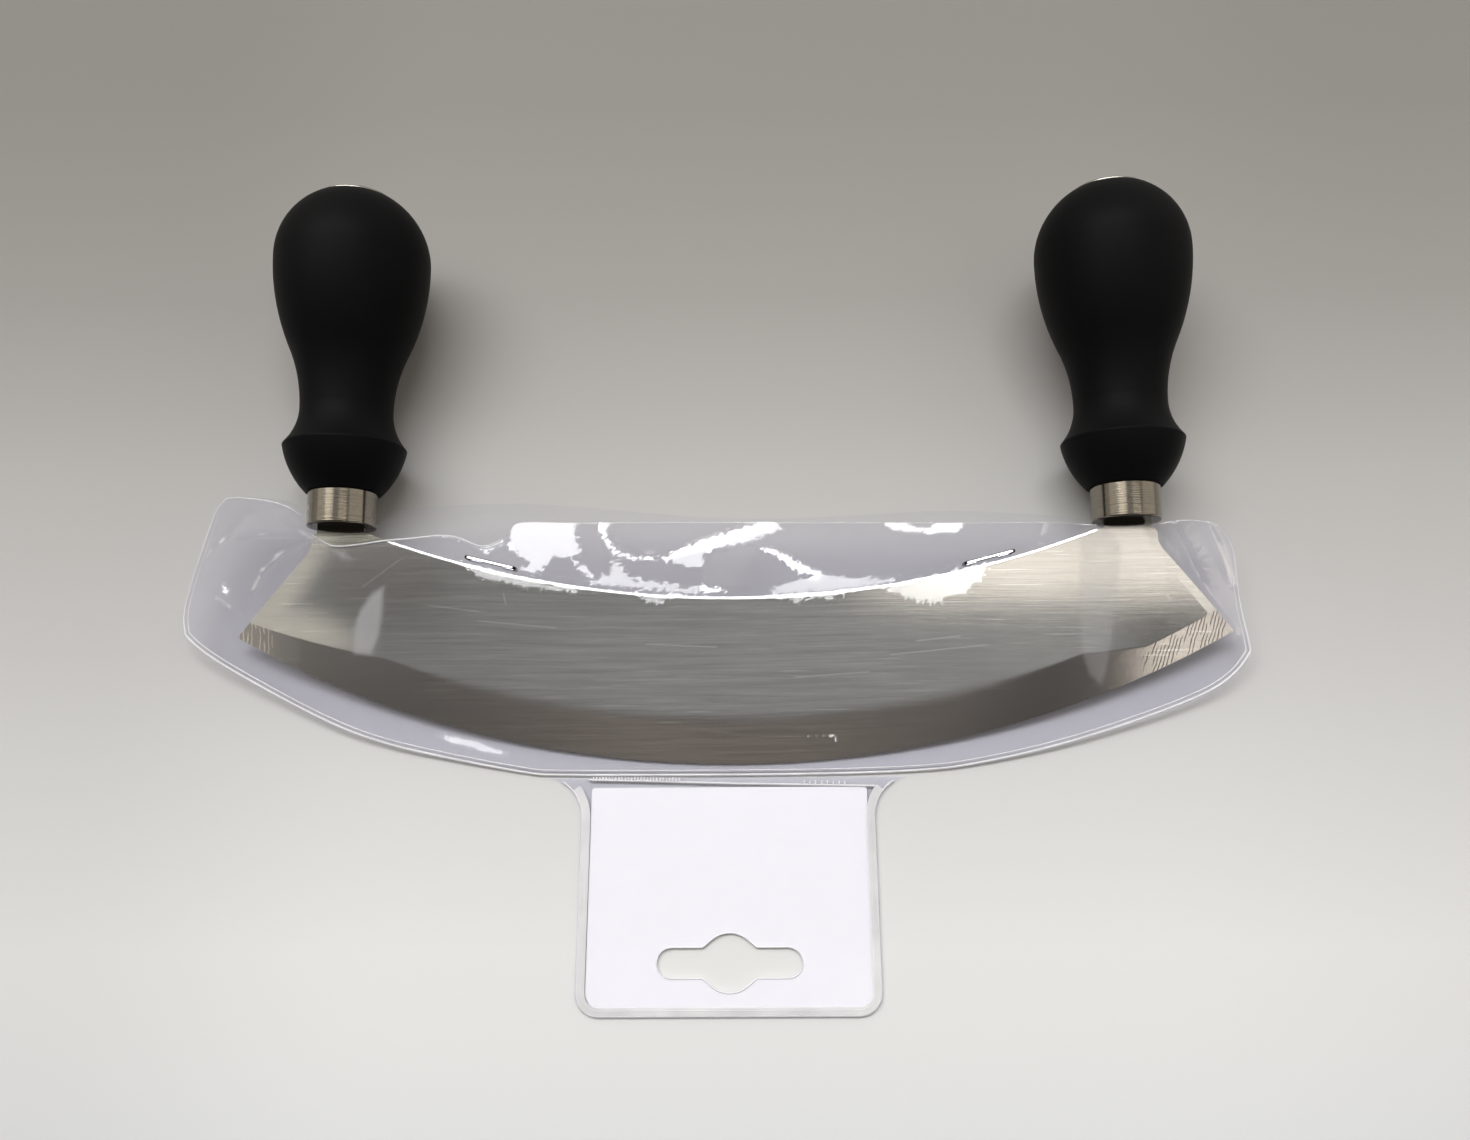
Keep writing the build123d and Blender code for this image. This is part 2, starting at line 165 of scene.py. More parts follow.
def makeWorld():
    world = bpy.data.worlds.new("room")
    bpy.context.scene.world = world
    world.use_nodes = True
    world.node_tree.nodes.clear()
    add = partial(addNode, world.node_tree)
    place = add("TexCoord").outputs["Generated"]
    axes = add("SeparateXYZ", place)
    height = add("Math MAXIMUM", axes.outputs["Z"], 0.08)
    across = add("Math DIVIDE", axes.outputs["X"], height)
    along = add("Math DIVIDE", axes.outputs["Y"], height)
    toLeft = add("MapRange SMOOTHSTEP", across, room["leftFrom"], room["leftTo"])
    toFront = add("MapRange SMOOTHSTEP", along, room["darkFrom"], room["darkTo"])
    grey = add("Mix RGBA", {"Factor": toLeft, 6: srgb(room["right"]), 7: srgb(room["left"])}).outputs[2]
    tone = add("Mix RGBA", {"Factor": toFront, 6: grey, 7: srgb(room["dark"])}).outputs[2]
    for (left, right), (near, far), (wide, deep), colour, level in walls:
        inside = add("MapRange SMOOTHSTEP", across, left - wide, left + wide)
        for way, outer, inner in ((across, right + wide, right - wide), (along, near - deep, near + deep),
                                  (along, far + deep, far - deep)):
            inside = add("Math MULTIPLY", inside, add("MapRange SMOOTHSTEP", way, outer, inner))
        bright = (*(c * level for c in srgb(colour)[:3]), 1.0)
        tone = add("Mix RGBA", {"Factor": inside, 6: tone, 7: bright}).outputs[2]
    light = add("Background", {"Color": tone, "Strength": room["level"]})
    add("OutputWorld", light)


lamps = {
    "windowLamp": dict(place=(-0.42, 0.62, 0.88), aim=(0.0, 0.0, 0.0), size=(0.7, 0.5), power=0.8, colour="#ffffff"),
    "fillLamp": dict(place=(0.9, -0.35, 0.8), aim=(0.0, 0.0, 0.0), size=(0.6, 0.6), power=0.6, colour="#ffffff"),
}


def makeLamps():
    for name, lamp in lamps.items():
        data = bpy.data.lights.new(name, "AREA")
        data.shape, data.size, data.size_y = "RECTANGLE", *lamp["size"]
        data.energy, data.color = lamp["power"], srgb(lamp["colour"])[:3]
        item = newObject(name, data)
        place = Vector(lamp["place"])
        item.location = place
        item.rotation_mode = "QUATERNION"
        item.rotation_quaternion = (Vector(lamp["aim"]) - place).to_track_quat("-Z", "Y")


makeWorld()
makeLamps()
print("room and lamps set")

# floor: a pale table top with painted shade, darker away from the viewer and out to the left and right, where the
# light falls off

floorTop = dict(size=3.0, low=-0.120, high=0.176, shades=((-0.07, -0.15, 0.90), (0.09, 0.19, 0.93)),
                tones=((0.0, "#d9dbdd"), (0.06, "#dddedf"), (0.13, "#dfe0e0"), (0.28, "#d0d0d0"), (0.36, "#c6c5c5"),
                       (0.51, "#b6b5b3"), (0.58, "#aba9a7"), (0.68, "#9c9a97"), (0.78, "#94928e"), (0.89, "#8d8b87"),
                       (1.0, "#8b8985")))


def makeFloor():
    mesh = bpy.data.meshes.new("floor")
    bm = bmesh.new()
    bmesh.ops.create_grid(bm, x_segments=1, y_segments=1, size=floorTop["size"] / 2)
    bm.to_mesh(mesh)
    bm.free()
    floor = newObject("floor", mesh)
    material, add = newMaterial("tableTopWithPaintedShade")
    axes = add("SeparateXYZ", add("TexCoord").outputs["Object"])
    # painted shade: the tone runs darker away from the viewer
    along = add("MapRange", axes.outputs["Y"], floorTop["low"], floorTop["high"])
    tone = setRamp(add("ValToRGB", along), [(p, srgb(c)) for p, c in floorTop["tones"]])
    for start, end, shade in floorTop["shades"]:  # darker out to the left and right
        side = add("MapRange SMOOTHSTEP", axes.outputs["X"], start, end, 1.0, shade)
        tone = add("VectorMath SCALE", {0: tone, "Scale": side})
    paint = add("BsdfPrincipled", {"Base Color": tone, "Roughness": 0.7})
    add("OutputMaterial", paint)
    mesh.materials.append(material)


makeFloor()

# blade: stainless steel, satin ground lengthwise, with a finer, darker bevel along the edge

steel = dict(plain="#bfbfba", bevel="#b3aea6", scratch="#f2f6f4", rough=0.08, bevelRough=0.1, bevelTilt=0.07,
             grainLong=18.0, grainFine=0.26,  # mm between grinding lines, drawn coarse enough to show
             leftBevel=4.4, rightBevel=6.0,  # mm, what the bevel narrows to at the tips
             strokeGap=1.0, slantRight=0.9, slantLeft=-0.5, strokeDark=0.2, nickBright=1.8, sheen=0.03, dubbed=0.05,
             leftSheen=((-99.0, 52.0), (-113.0, 31.5), (-95.0, 29.6), (-85.0, 27.4)),
             rightEdge=((97.5, 53.9), (99.3, 49.0), (107.8, 38.4), (113.0, 32.0)),
             rightTip=((114.0, 30.6), (112.2, 30.0)),
             leftFoot=((-97.5, 54.6), (-86.3, 54.6)), rightFoot=((86.3, 54.6), (97.5, 54.6)),
             scratches=(((-86.2, 41.1), (-77.6, 47.6)), ((-70.9, 36.7), (-58.6, 35.1)),
                        ((-59.0, 33.0), (-41.0, 31.2)), ((42.0, 27.6), (52.0, 28.7)),
                        ((36.0, 24.5), (58.0, 26.6)), ((-20.0, 27.3), (-4.0, 26.5)),
                        ((14.0, 19.5), (31.0, 20.6)), ((-53.4, 39.4), (-52.6, 36.6))))


def bladePlane(add):  # places in the blade's own plane, in metres
    place = add("TexCoord").outputs["Object"]
    start = onBlade(0, 0, 0)
    turnBack = Matrix.Rotation(-lean, 3, "X")
    return add("Mapping", {"Vector": place, "Location": turnBack @ -start, "Rotation": (-lean, 0, 0)})


def toLine(add, flat, points):  # distance in m from the pattern's place to a broken line given in mm
    best = None
    for a, b in zip(points[:-1], points[1:]):
        start, run = Vector((*a, 0)) / 1000, Vector((b[0] - a[0], b[1] - a[1], 0)) / 1000
        reach = add("VectorMath SUBTRACT", flat, start)
        level = add("VectorMath MULTIPLY", reach, (1, 1, 0))
        share = add("VectorMath DOT_PRODUCT", level, run / run.length_squared)
        held = add("Clamp", share.outputs["Value"])
        foot = add("VectorMath SCALE", {0: run, "Scale": held})
        gap = add("VectorMath DISTANCE", level, foot).outputs["Value"]
        best = gap if best is None else add("Math MINIMUM", best, gap)
    return best


def makeBladeSteel():
    material, add = newMaterial("satinGroundStainlessSteel")
    flat = bladePlane(add)
    axes = add("SeparateXYZ", flat)
    side = add("Math ABSOLUTE", axes.outputs["X"])
    # how far out from the edge arc's centre, and the bevel, which narrows towards the tips
    centred = add("VectorMath ADD", flat, (0, -blade["edgeRadius"] / 1000, 0))
    level = add("VectorMath MULTIPLY", centred, (1, 1, 0))
    reach = add("VectorMath LENGTH", level).outputs["Value"]
    toRight = add("Math GREATER_THAN", axes.outputs["X"], 0.0)
    leftWidth = add("MapRange", side, 0.080, 0.112, blade["bevel"] / 1000, steel["leftBevel"] / 1000)
    rightWidth = add("MapRange", side, 0.080, 0.0945, blade["bevel"] / 1000, steel["rightBevel"] / 1000)
    width = add("Math MULTIPLY_ADD", toRight, add("Math SUBTRACT", rightWidth, leftWidth), leftWidth)
    soft = add("MapRange SMOOTHSTEP", side, 0.045, 0.084, 0.0022, 0.0003)
    depth = add("Math SUBTRACT", add("Math ADD", reach, width), blade["edgeRadius"] / 1000)
    bevel = add("MapRange SMOOTHSTEP", add("Math DIVIDE", depth, soft), -1.0, 1.0)
    # grinding lines along the blade, a few deeper than the rest, and crosswise strokes on the bevel
    bend = add("TexNoise", {"Vector": flat, "Scale": 9.0, "Detail": 1.0})
    bent = add("VectorMath MULTIPLY_ADD", bend.outputs["Color"], (0, 0.005, 0), flat)
    fine = add("Mapping", {"Vector": bent, "Rotation": (0, 0, 0.04),
        "Scale": (1000 / steel["grainLong"], 1000 / steel["grainFine"], 1.0)})
    grain = add("TexNoise", {"Vector": fine, "Scale": 1.0, "Detail": 3.0, "Roughness": 0.7})
    broad = add("Mapping", {"Vector": bent, "Rotation": (0, 0, 0.05), "Scale": (26, 850, 1.0)})
    streaks = add("TexNoise", {"Vector": broad, "Scale": 1.0, "Detail": 5.0, "Roughness": 0.65})
    patches = add("TexNoise", {"Vector": flat, "Scale": 34.0, "Detail": 3.0})
    deep = add("Mapping", {"Vector": flat, "Rotation": (0, 0, 0.06), "Scale": (55, 2600, 1.0)})
    cuts = add("MapRange SMOOTHSTEP", add("TexNoise", {"Vector": deep, "Scale": 1.0, "Detail": 1.0}), 0.68, 0.76)
    turned = add("Math DIVIDE", axes.outputs["X"], reach)
    slant = add("Math MULTIPLY_ADD", toRight, steel["slantRight"] - steel["slantLeft"], steel["slantLeft"])
    slanted = add("Math MULTIPLY", add("Math MULTIPLY", reach, 1000.0), slant)
    along = add("Math DIVIDE", add("Math MULTIPLY_ADD", turned, blade["edgeRadius"], slanted), steel["strokeGap"])
    uneven = add("TexNoise", {"Vector": flat, "Scale": 420.0, "Detail": 2.0})
    wander = add("Math MULTIPLY_ADD", uneven, 1.1, along)
    off = add("Math ABSOLUTE", add("Math SUBTRACT", add("Math FRACT", wander), 0.5))
    rows = add("CombineXYZ", add("Math FLOOR", wander), add("Math MULTIPLY", reach, 230.0))
    held = add("TexNoise", {"Vector": rows, "Scale": 1.0, "Detail": 0.0})
    thin, here = add("MapRange SMOOTHSTEP", off, 0.10, 0.20, 1.0, 0.0), add("MapRange SMOOTHSTEP", held, 0.42, 0.52)
    strokes = add("Math MULTIPLY", bevel, add("Math MULTIPLY", thin, here))
    scratch = None
    for line in steel["scratches"]:
        mark = add("MapRange SMOOTHSTEP", toLine(add, flat, line), 0.00006, 0.00022, 1.0, 0.0)
        scratch = mark if scratch is None else add("Math MAXIMUM", scratch, mark)
    # the tone: lines, cloudy patches from the roll, and the browner bevel
    lines = add("Math ADD", grain, streaks)
    quiet = add("MapRange SMOOTHSTEP", axes.outputs["X"], 0.02, 0.07, 1.0, 0.35)
    quiet = add("Math MULTIPLY", quiet, add("MapRange SMOOTHSTEP", axes.outputs["X"], -0.066, -0.090, 1.0, 0.4))
    lined = add("Math MULTIPLY_ADD", add("MapRange", lines, 0.7, 1.3, -0.24, 0.17), quiet, 1.0)
    shade = add("Math MULTIPLY", lined, add("MapRange SMOOTHSTEP", patches, 0.3, 0.7, 0.95, 1.04))
    tone = add("Mix RGBA", {"Factor": bevel, 6: srgb(steel["plain"]), 7: srgb(steel["bevel"])})
    cross = add("Math MULTIPLY", strokes, add("MapRange SMOOTHSTEP", axes.outputs["X"], 0.0925, 0.0955))
    shade = add("Math MULTIPLY", shade, add("Math MULTIPLY_ADD", cross, steel["strokeDark"] - 1, 1.0))
    nicks = add("Math MULTIPLY", strokes, add("MapRange SMOOTHSTEP", axes.outputs["X"], -0.1055, -0.1075))
    shade = add("Math MULTIPLY", shade, add("Math MULTIPLY_ADD", nicks, steel["nickBright"] - 1, 1.0))
    # painted shadow where the shoulders meet the ferrules
    for foot, far in ((steel["leftFoot"], 0.0021), (steel["rightFoot"], 0.0016)):
        footShadow = add("MapRange SMOOTHSTEP", toLine(add, flat, foot), 0.0004, far, 0.25, 1.0)
        shade = add("Math MULTIPLY", shade, footShadow)
    marks = add("Math MULTIPLY", add("Math MAXIMUM", scratch, cuts), 0.45)
    shaded = add("VectorMath SCALE", {0: tone.outputs[2], "Scale": shade})
    lit = add("Mix RGBA", {"Factor": marks, 6: shaded, 7: srgb(steel["scratch"])})
    # the surface's lie: flat, tipped on the bevel, rolled over a little along both ends
    lie = add("NewGeometry").outputs["Normal"]
    upright = Vector((0, -math.sin(lean), math.cos(lean)))
    facing = add("VectorMath DOT_PRODUCT", lie, upright).outputs["Value"]
    outY = add("Math DIVIDE", add("SeparateXYZ", level).outputs["Y"], reach)
    outward = add("CombineXYZ", turned, add("Math MULTIPLY", outY, math.cos(lean)),
        add("Math MULTIPLY", outY, math.sin(lean)))
    rolled = add("MapRange SMOOTHSTEP", toLine(add, flat, steel["leftSheen"]), 0.0, 0.010, 1.0, 0.0)
    edged = add("MapRange SMOOTHSTEP", toLine(add, flat, steel["rightEdge"]), 0.0018, 0.0021, 1.0, 0.0)
    tipped = add("MapRange SMOOTHSTEP", toLine(add, flat, steel["rightTip"]), 0.0044, 0.0048, 1.0, 0.0)
    dubbed = add("Math MAXIMUM", edged, tipped)
    leaned = add("Math MULTIPLY_ADD", dubbed, steel["dubbed"], add("Math MULTIPLY", rolled, -steel["sheen"]))
    sideways = add("Math MULTIPLY", leaned, add("Math SUBTRACT", 1.0, bevel))
    front = add("MapRange SMOOTHSTEP", facing, 0.6, 0.9)
    tilted = add("VectorMath SCALE", {0: outward, "Scale": add("Math MULTIPLY", bevel, steel["bevelTilt"])})
    target = add("VectorMath ADD", add("VectorMath ADD", upright, tilted), add("CombineXYZ", sideways))
    normal = add("Mix VECTOR", {"Factor": front, 4: lie, 5: target}).outputs[1]
    normal = add("VectorMath NORMALIZE", normal)
    heights = add("Math MULTIPLY_ADD", streaks, 1.5, grain)
    bump = add("Bump", {"Height": heights, "Strength": 0.05, "Distance": 0.00005, "Normal": normal})
    rough = add("MapRange SMOOTHSTEP", bevel, 0.0, 1.0, steel["rough"], steel["bevelRough"])
    metal = add("BsdfPrincipled", {"Base Color": lit.outputs[2], "Metallic": 1.0, "Roughness": rough, "Normal": bump})
    add("OutputMaterial", metal)
    return material


# ferrules: drawn stainless cups, brushed round on a belt

ferruleSteel = dict(plain="#948e84", shadedEnd="#3a352f", rough=0.15, ring=0.25)  # ring: mm between brush marks


def makeFerruleSteel():
    material, add = newMaterial("drawnStainlessSteel")
    flat = bladePlane(add)
    rings = add("Mapping", {"Vector": flat, "Scale": (30, 1000 / ferruleSteel["ring"], 30)})
    lines = add("TexNoise", {"Vector": rings, "Scale": 1.0, "Detail": 2.0})
    chatter = add("TexNoise", {"Vector": flat, "Scale": 900.0, "Detail": 2.0})
    both = add("Math MULTIPLY_ADD", chatter, 0.5, lines)
    shade = add("MapRange", both, 0.5, 1.0, 0.85, 1.08)
    lie = add("NewGeometry").outputs["Normal"]
    # painted shade: the end of the cup that faces the blade is darkened
    facing = add("VectorMath DOT_PRODUCT", lie, (0, -math.cos(lean), -math.sin(lean)))
    shadedEnd = add("MapRange", facing.outputs["Value"], 0.6, 0.95)
    tone = add("Mix RGBA", {"Factor": shadedEnd, 6: srgb(ferruleSteel["plain"]), 7: srgb(ferruleSteel["shadedEnd"])})
    lit = add("VectorMath SCALE", {0: tone.outputs[2], "Scale": shade})
    bump = add("Bump", {"Height": both, "Strength": 0.5, "Distance": 0.00004})
    metal = add("BsdfPrincipled", {"Base Color": lit, "Metallic": 1.0, "Roughness": ferruleSteel["rough"],
        "Normal": bump})
    add("OutputMaterial", metal)
    return material


# end caps: stamped stainless discs, duller than the ferrules

capSteel = dict(plain="#a8a49d", rough=0.32)


def makeCapSteel():
    material, add = newMaterial("stampedStainlessSteel")
    place = add("TexCoord").outputs["Object"]
    specks = add("TexNoise", {"Vector": place, "Scale": 700.0, "Detail": 3.0})
    shade = add("MapRange", specks, 0.0, 1.0, 0.8, 1.1)
    lit = add("VectorMath SCALE", {0: srgb(capSteel["plain"])[:3], "Scale": shade})
    bump = add("Bump", {"Height": specks, "Strength": 0.3, "Distance": 0.00004})
    metal = add("BsdfPrincipled", {"Base Color": lit, "Metallic": 1.0, "Roughness": capSteel["rough"],
        "Normal": bump})
    add("OutputMaterial", metal)
    return material


# staples: bright zinc plated wire, with a painted highlight along the crown's top and painted shade on the sides

stapleWire = dict(plain="#f1f0ec", sides="#1d1b19", rough=0.22, crown=0.2,
                  left=((-61.6, 47.75), (-51.4, 45.28)), right=((54.3, 45.62), (64.5, 48.22)))


def makeStapleWire():
    material, add = newMaterial("zincPlatedWire")
    place = add("TexCoord").outputs["Object"]
    pits = add("TexNoise", {"Vector": place, "Scale": 1500.0, "Detail": 2.0})
    shade = add("MapRange", pits, 0.0, 1.0, 0.85, 1.05)
    lie = add("NewGeometry").outputs["Normal"]
    upright = Vector((0, -math.sin(lean), math.cos(lean)))
    facing = add("VectorMath DOT_PRODUCT", lie, upright)
    flat = bladePlane(add)
    # painted light: a thin line along the top of each crown is bright as a painted highlight, and the rest of the
    # wire is painted dark as shade
    middle = add("Math MINIMUM", toLine(add, flat, stapleWire["left"]), toLine(add, flat, stapleWire["right"]))
    band = add("MapRange", middle, 0.00012, 0.00018, 1.0, 0.0)
    above = add("Math GREATER_THAN", facing.outputs["Value"], 0.8)
    top = add("Math MULTIPLY", above, band)
    tone = add("Mix RGBA", {"Factor": top, 6: srgb(stapleWire["sides"]), 7: srgb(stapleWire["plain"])})
    lit = add("VectorMath SCALE", {0: tone.outputs[2], "Scale": shade})
    domed = add("VectorMath ADD", lie, (0, stapleWire["crown"], 0))
    metal = add("BsdfPrincipled", {"Base Color": lit, "Metallic": 1.0, "Roughness": stapleWire["rough"],
        "Normal": domed})
    add("OutputMaterial", metal)
    return material


# handles: black polypropylene, moulded with a fine spark-eroded grain

handlePlastic = dict(plain="#0a0a0b", worn="#0f0f11", rough=0.5, shine=0.06, grain=0.22)


def makeHandlePlastic():
    material, add = newMaterial("mouldedBlackPolypropylene")
    place = add("TexCoord").outputs["Object"]
    grain = add("TexNoise", {"Vector": place, "Scale": 1000 / handlePlastic["grain"] / 2, "Detail": 2.0})
    hands = add("TexNoise", {"Vector": place, "Scale": 35.0, "Detail": 3.0})
    tone = add("Mix RGBA", {"Factor": hands, 6: srgb(handlePlastic["plain"]), 7: srgb(handlePlastic["worn"])})
    rough = add("MapRange", hands, 0.0, 1.0, handlePlastic["rough"] - 0.06, handlePlastic["rough"] + 0.08)
    bump = add("Bump", {"Height": grain, "Strength": 0.25, "Distance": 0.00004})
    plastic = add("BsdfPrincipled", {"Base Color": tone.outputs[2], "Roughness": rough, "IOR": 1.49,
        "Specular IOR Level": handlePlastic["shine"], "Normal": bump})
    add("OutputMaterial", plastic)
    return material


# card: smooth white board with a faint fibre mottle

whiteBoard = dict(plain="#fbfbfc", fibre="#f6f6f8", rough=0.6, fibreSize=0.9)


def makeWhiteBoard():
    material, add = newMaterial("whitePressedCard")
    place = add("TexCoord").outputs["Object"]
    fibre = add("TexNoise", {"Vector": place, "Scale": 1000 / whiteBoard["fibreSize"] / 2, "Detail": 4.0})
    tone = add("Mix RGBA", {"Factor": fibre, 6: srgb(whiteBoard["plain"]), 7: srgb(whiteBoard["fibre"])})
    bump = add("Bump", {"Height": fibre, "Strength": 0.2, "Distance": 0.00005})
    board = add("BsdfPrincipled", {"Base Color": tone.outputs[2], "Roughness": whiteBoard["rough"], "Normal": bump})
    add("OutputMaterial", board)
    return material


# film: clear soft PVC, glossy with a faint lilac cast, creased where it has been handled

clearFilm = dict(tint="#fdfdff", body="#c3c2cf", paleBody="#f6f5fd", cover=0.033, edgeCover=0.4, hazy=0.3,
                 rough=0.045, creaseSize=14.0, crepeSize=0.8, creased=0.16)


def makeFilm():
    material, add = newMaterial("clearSoftPvcFilm")
    place = add("TexCoord").outputs["Object"]
    creases = add("TexNoise", {"Vector": place, "Scale": 1000 / clearFilm["creaseSize"] / 2, "Detail": 1.5,
        "Distortion": 0.6})
    crepe = add("TexNoise", {"Vector": place, "Scale": 1000 / clearFilm["crepeSize"] / 2, "Detail": 2.0})
    heights = add("Math MULTIPLY_ADD", creases, 4.0, crepe)
    bump = add("Bump", {"Height": heights, "Strength": clearFilm["creased"], "Distance": 0.0001})
    # the pale attribute whitens the film's body; where layFilm sets it on glints, hazes and creases it is partly a
    # painted highlight and sheen
    pale = add("Attribute", attribute_name="pale")
    body = add("Mix RGBA", {"Factor": pale.outputs["Fac"], 6: srgb(clearFilm["body"]),
        7: srgb(clearFilm["paleBody"])})
    gloss = add("BsdfPrincipled", {"Base Color": body.outputs[2], "Roughness": clearFilm["rough"], "IOR": 4.0,
        "Specular IOR Level": 1.0, "Normal": bump})
    through = add("BsdfTransparent", {"Color": srgb(clearFilm["tint"])})
    facing = add("LayerWeight", {"Blend": 0.15, "Normal": bump})
    share = add("MapRange", facing.outputs["Facing"], 0.0, 1.0, clearFilm["cover"], clearFilm["edgeCover"])
    haze = add("Attribute", attribute_name="haze")
    covered = add("Math MULTIPLY_ADD", haze.outputs["Fac"], clearFilm["hazy"], share, use_clamp=True)
    mix = add("MixShader", covered, through, gloss)
    add("OutputMaterial", mix)
    return material


# bead: the same PVC where it was squeezed out of the weld, milky and rounded; its white body also
# stands in for the bright highlights along the welds, a painted highlight

weldBead = dict(body="#fbfbff", cover=0.72, uneven=0.07, rough=0.1, size=4.0)


def makeBead():
    material, add = newMaterial("weldedPvcBead")
    place = add("TexCoord").outputs["Object"]
    cloud = add("TexNoise", {"Vector": place, "Scale": 1000 / weldBead["size"] / 2, "Detail": 2.0})
    share = add("MapRange", cloud, 0.3, 0.7, weldBead["cover"] - weldBead["uneven"],
                weldBead["cover"] + weldBead["uneven"])
    body = add("BsdfPrincipled", {"Base Color": srgb(weldBead["body"]), "Roughness": weldBead["rough"], "IOR": 1.53,
        "Specular IOR Level": 1.0})
    through = add("BsdfTransparent", {"Color": srgb(clearFilm["tint"])})
    mix = add("MixShader", share, through, body)
    add("OutputMaterial", mix)
    return material


finishes = {
    "blade": makeBladeSteel(),
    "ferrule": makeFerruleSteel(),
    "end_cap": makeCapSteel(),
    "staple": makeStapleWire(),
    "handle": makeHandlePlastic(),
    "header_card": makeWhiteBoard(),
}
for name, node in nodes.items():
    for word, material in finishes.items():
        if name.endswith(word):
            node.data.materials.clear()
            node.data.materials.append(material)
film = makeFilm()
bead = makeBead()
print("materials made")

# the sheath's pocket: two wrinkled films on the blade's plane, mm

pocket = dict(
    left=((-127.4, 30.0), (-128.3, 35.0), (-127.0, 42.0), (-124.6, 51.0), (-122.9, 57.0), (-121.8, 60.4),
          (-119.6, 62.6)),
    right=((118.8, 24.6), (118.2, 29.0), (117.1, 35.0), (116.6, 45.0), (116.3, 50.0), (114.2, 53.6)),
    rim=((-127.4, 30.0), (-123.6, 26.4), (-114.9, 21.0), (-94.2, 10.0), (-80.5, 4.7), (-61.1, 0.5), (-47.6, -2.0),
         (-42.0, -2.75), (40.0, -2.75), (61.0, 0.4), (81.7, 5.5), (106.9, 14.2), (115.0, 19.4), (118.8, 24.6)),
    rearMouth=((-119.6, 62.6), (-116.5, 63.2), (-105.0, 62.0), (-102.2, 60.6), (-100.6, 57.4), (-99.4, 55.2),
               (-84.4, 55.2), (-83.2, 57.0), (-80.8, 59.0), (-76.0, 60.0), (-60.0, 61.2), (-45.4, 61.1),
               (-20.0, 58.6), (1.7, 56.9), (25.0, 57.4), (48.5, 58.8), (70.0, 57.6), (83.2, 56.2), (83.5, 54.7),
               (100.3, 54.7), (100.6, 55.4), (109.0, 56.0), (114.2, 53.6)),
    frontMouth=((-119.6, 62.6), (-116.5, 63.0), (-106.0, 61.4), (-101.0, 58.0), (-98.4, 53.4), (-96.1, 52.0),
                (-93.8, 50.7), (-91.1, 50.6), (-86.6, 51.1), (-81.7, 51.9), (-73.3, 52.5), (-68.8, 53.1),
                (-64.3, 52.7), (-59.4, 50.3), (-57.0, 50.4), (-54.2, 51.7), (-52.2, 54.6), (-50.9, 56.4),
                (-43.3, 56.3), (-36.1, 56.0), (-20.0, 56.0), (8.0, 55.8), (34.7, 55.5), (54.4, 55.2), (77.1, 55.2),
                (83.8, 54.2), (98.9, 54.4), (102.4, 55.4), (109.0, 55.6), (114.2, 53.6)),
    columns=470, rows=80,  # of the films' mesh
    over=0.32, rest=0.18, thickness=0.25, calm=0.75, inward=-0.35, clear=0.06, room=1.05,
    sag=(2.2, 18, 0.02), fall=5.0, seam=2.6, seamHeight=0.14, tipBack=0.29, tipLess=0.0021, straight=86,
    # how the front film falls away behind the blade's back: along x, the quick drop, its reach and the slope after it
    drops=((-100, 0.3, 0.9, 0.02), (-56, 0.35, 0.9, 0.04), (-50, 0.4, 1.0, 0.08), (-36, 0.4, 1.0, 0.08),
           (-31, 0.4, 1.0, 0.04), (0, 0.4, 1.0, 0.03), (18, 0.6, 1.6, 0.04), (100, 0.3, 0.9, 0.02)),
    creases=(  # from, to, height, width
        ((-31.1, 55.0), (-27.5, 50.6), 0.35, 1.6), ((-27.5, 50.6), (-19.4, 47.4), 0.4, 1.7),
        ((-19.4, 47.4), (-7.7, 50.4), 0.4, 1.7), ((-7.7, 50.4), (8.7, 55.7), 0.4, 1.8),
        ((7.4, 49.1), (19.0, 43.1), 0.35, 1.5), ((-121.6, 44.2), (-115.7, 36.0), -0.5, 1.8),
        ((-116.1, 52.3), (-110.3, 53.1), 0.3, 0.9), ((-110.3, 53.1), (-100.8, 53.1), 0.3, 0.9),
        ((-111.4, 40.0), (-109.0, 45.0), 0.4, 1.0), ((-109.0, 45.0), (-105.6, 48.6), 0.4, 1.0),
        ((-105.6, 48.6), (-98.6, 52.1), 0.4, 0.9), ((-114.2, 58.7), (-118.8, 52.3), 0.35, 1.1),
        ((-118.8, 52.3), (-124.3, 46.9), 0.35, 1.1), ((-105.2, 58.3), (-99.1, 54.0), -0.4, 0.8),
        ((-83.0, 54.5), (-68.7, 57.3), -0.35, 0.9), ((102.7, 54.1), (108.0, 40.1), 0.4, 0.9),
        ((108.0, 40.1), (115.6, 27.3), 0.4, 0.9), ((110.3, 55.0), (115.9, 40.1), 0.3, 1.2),
        ((72.3, 55.2), (70.4, 49.5), 0.3, 1.0)))
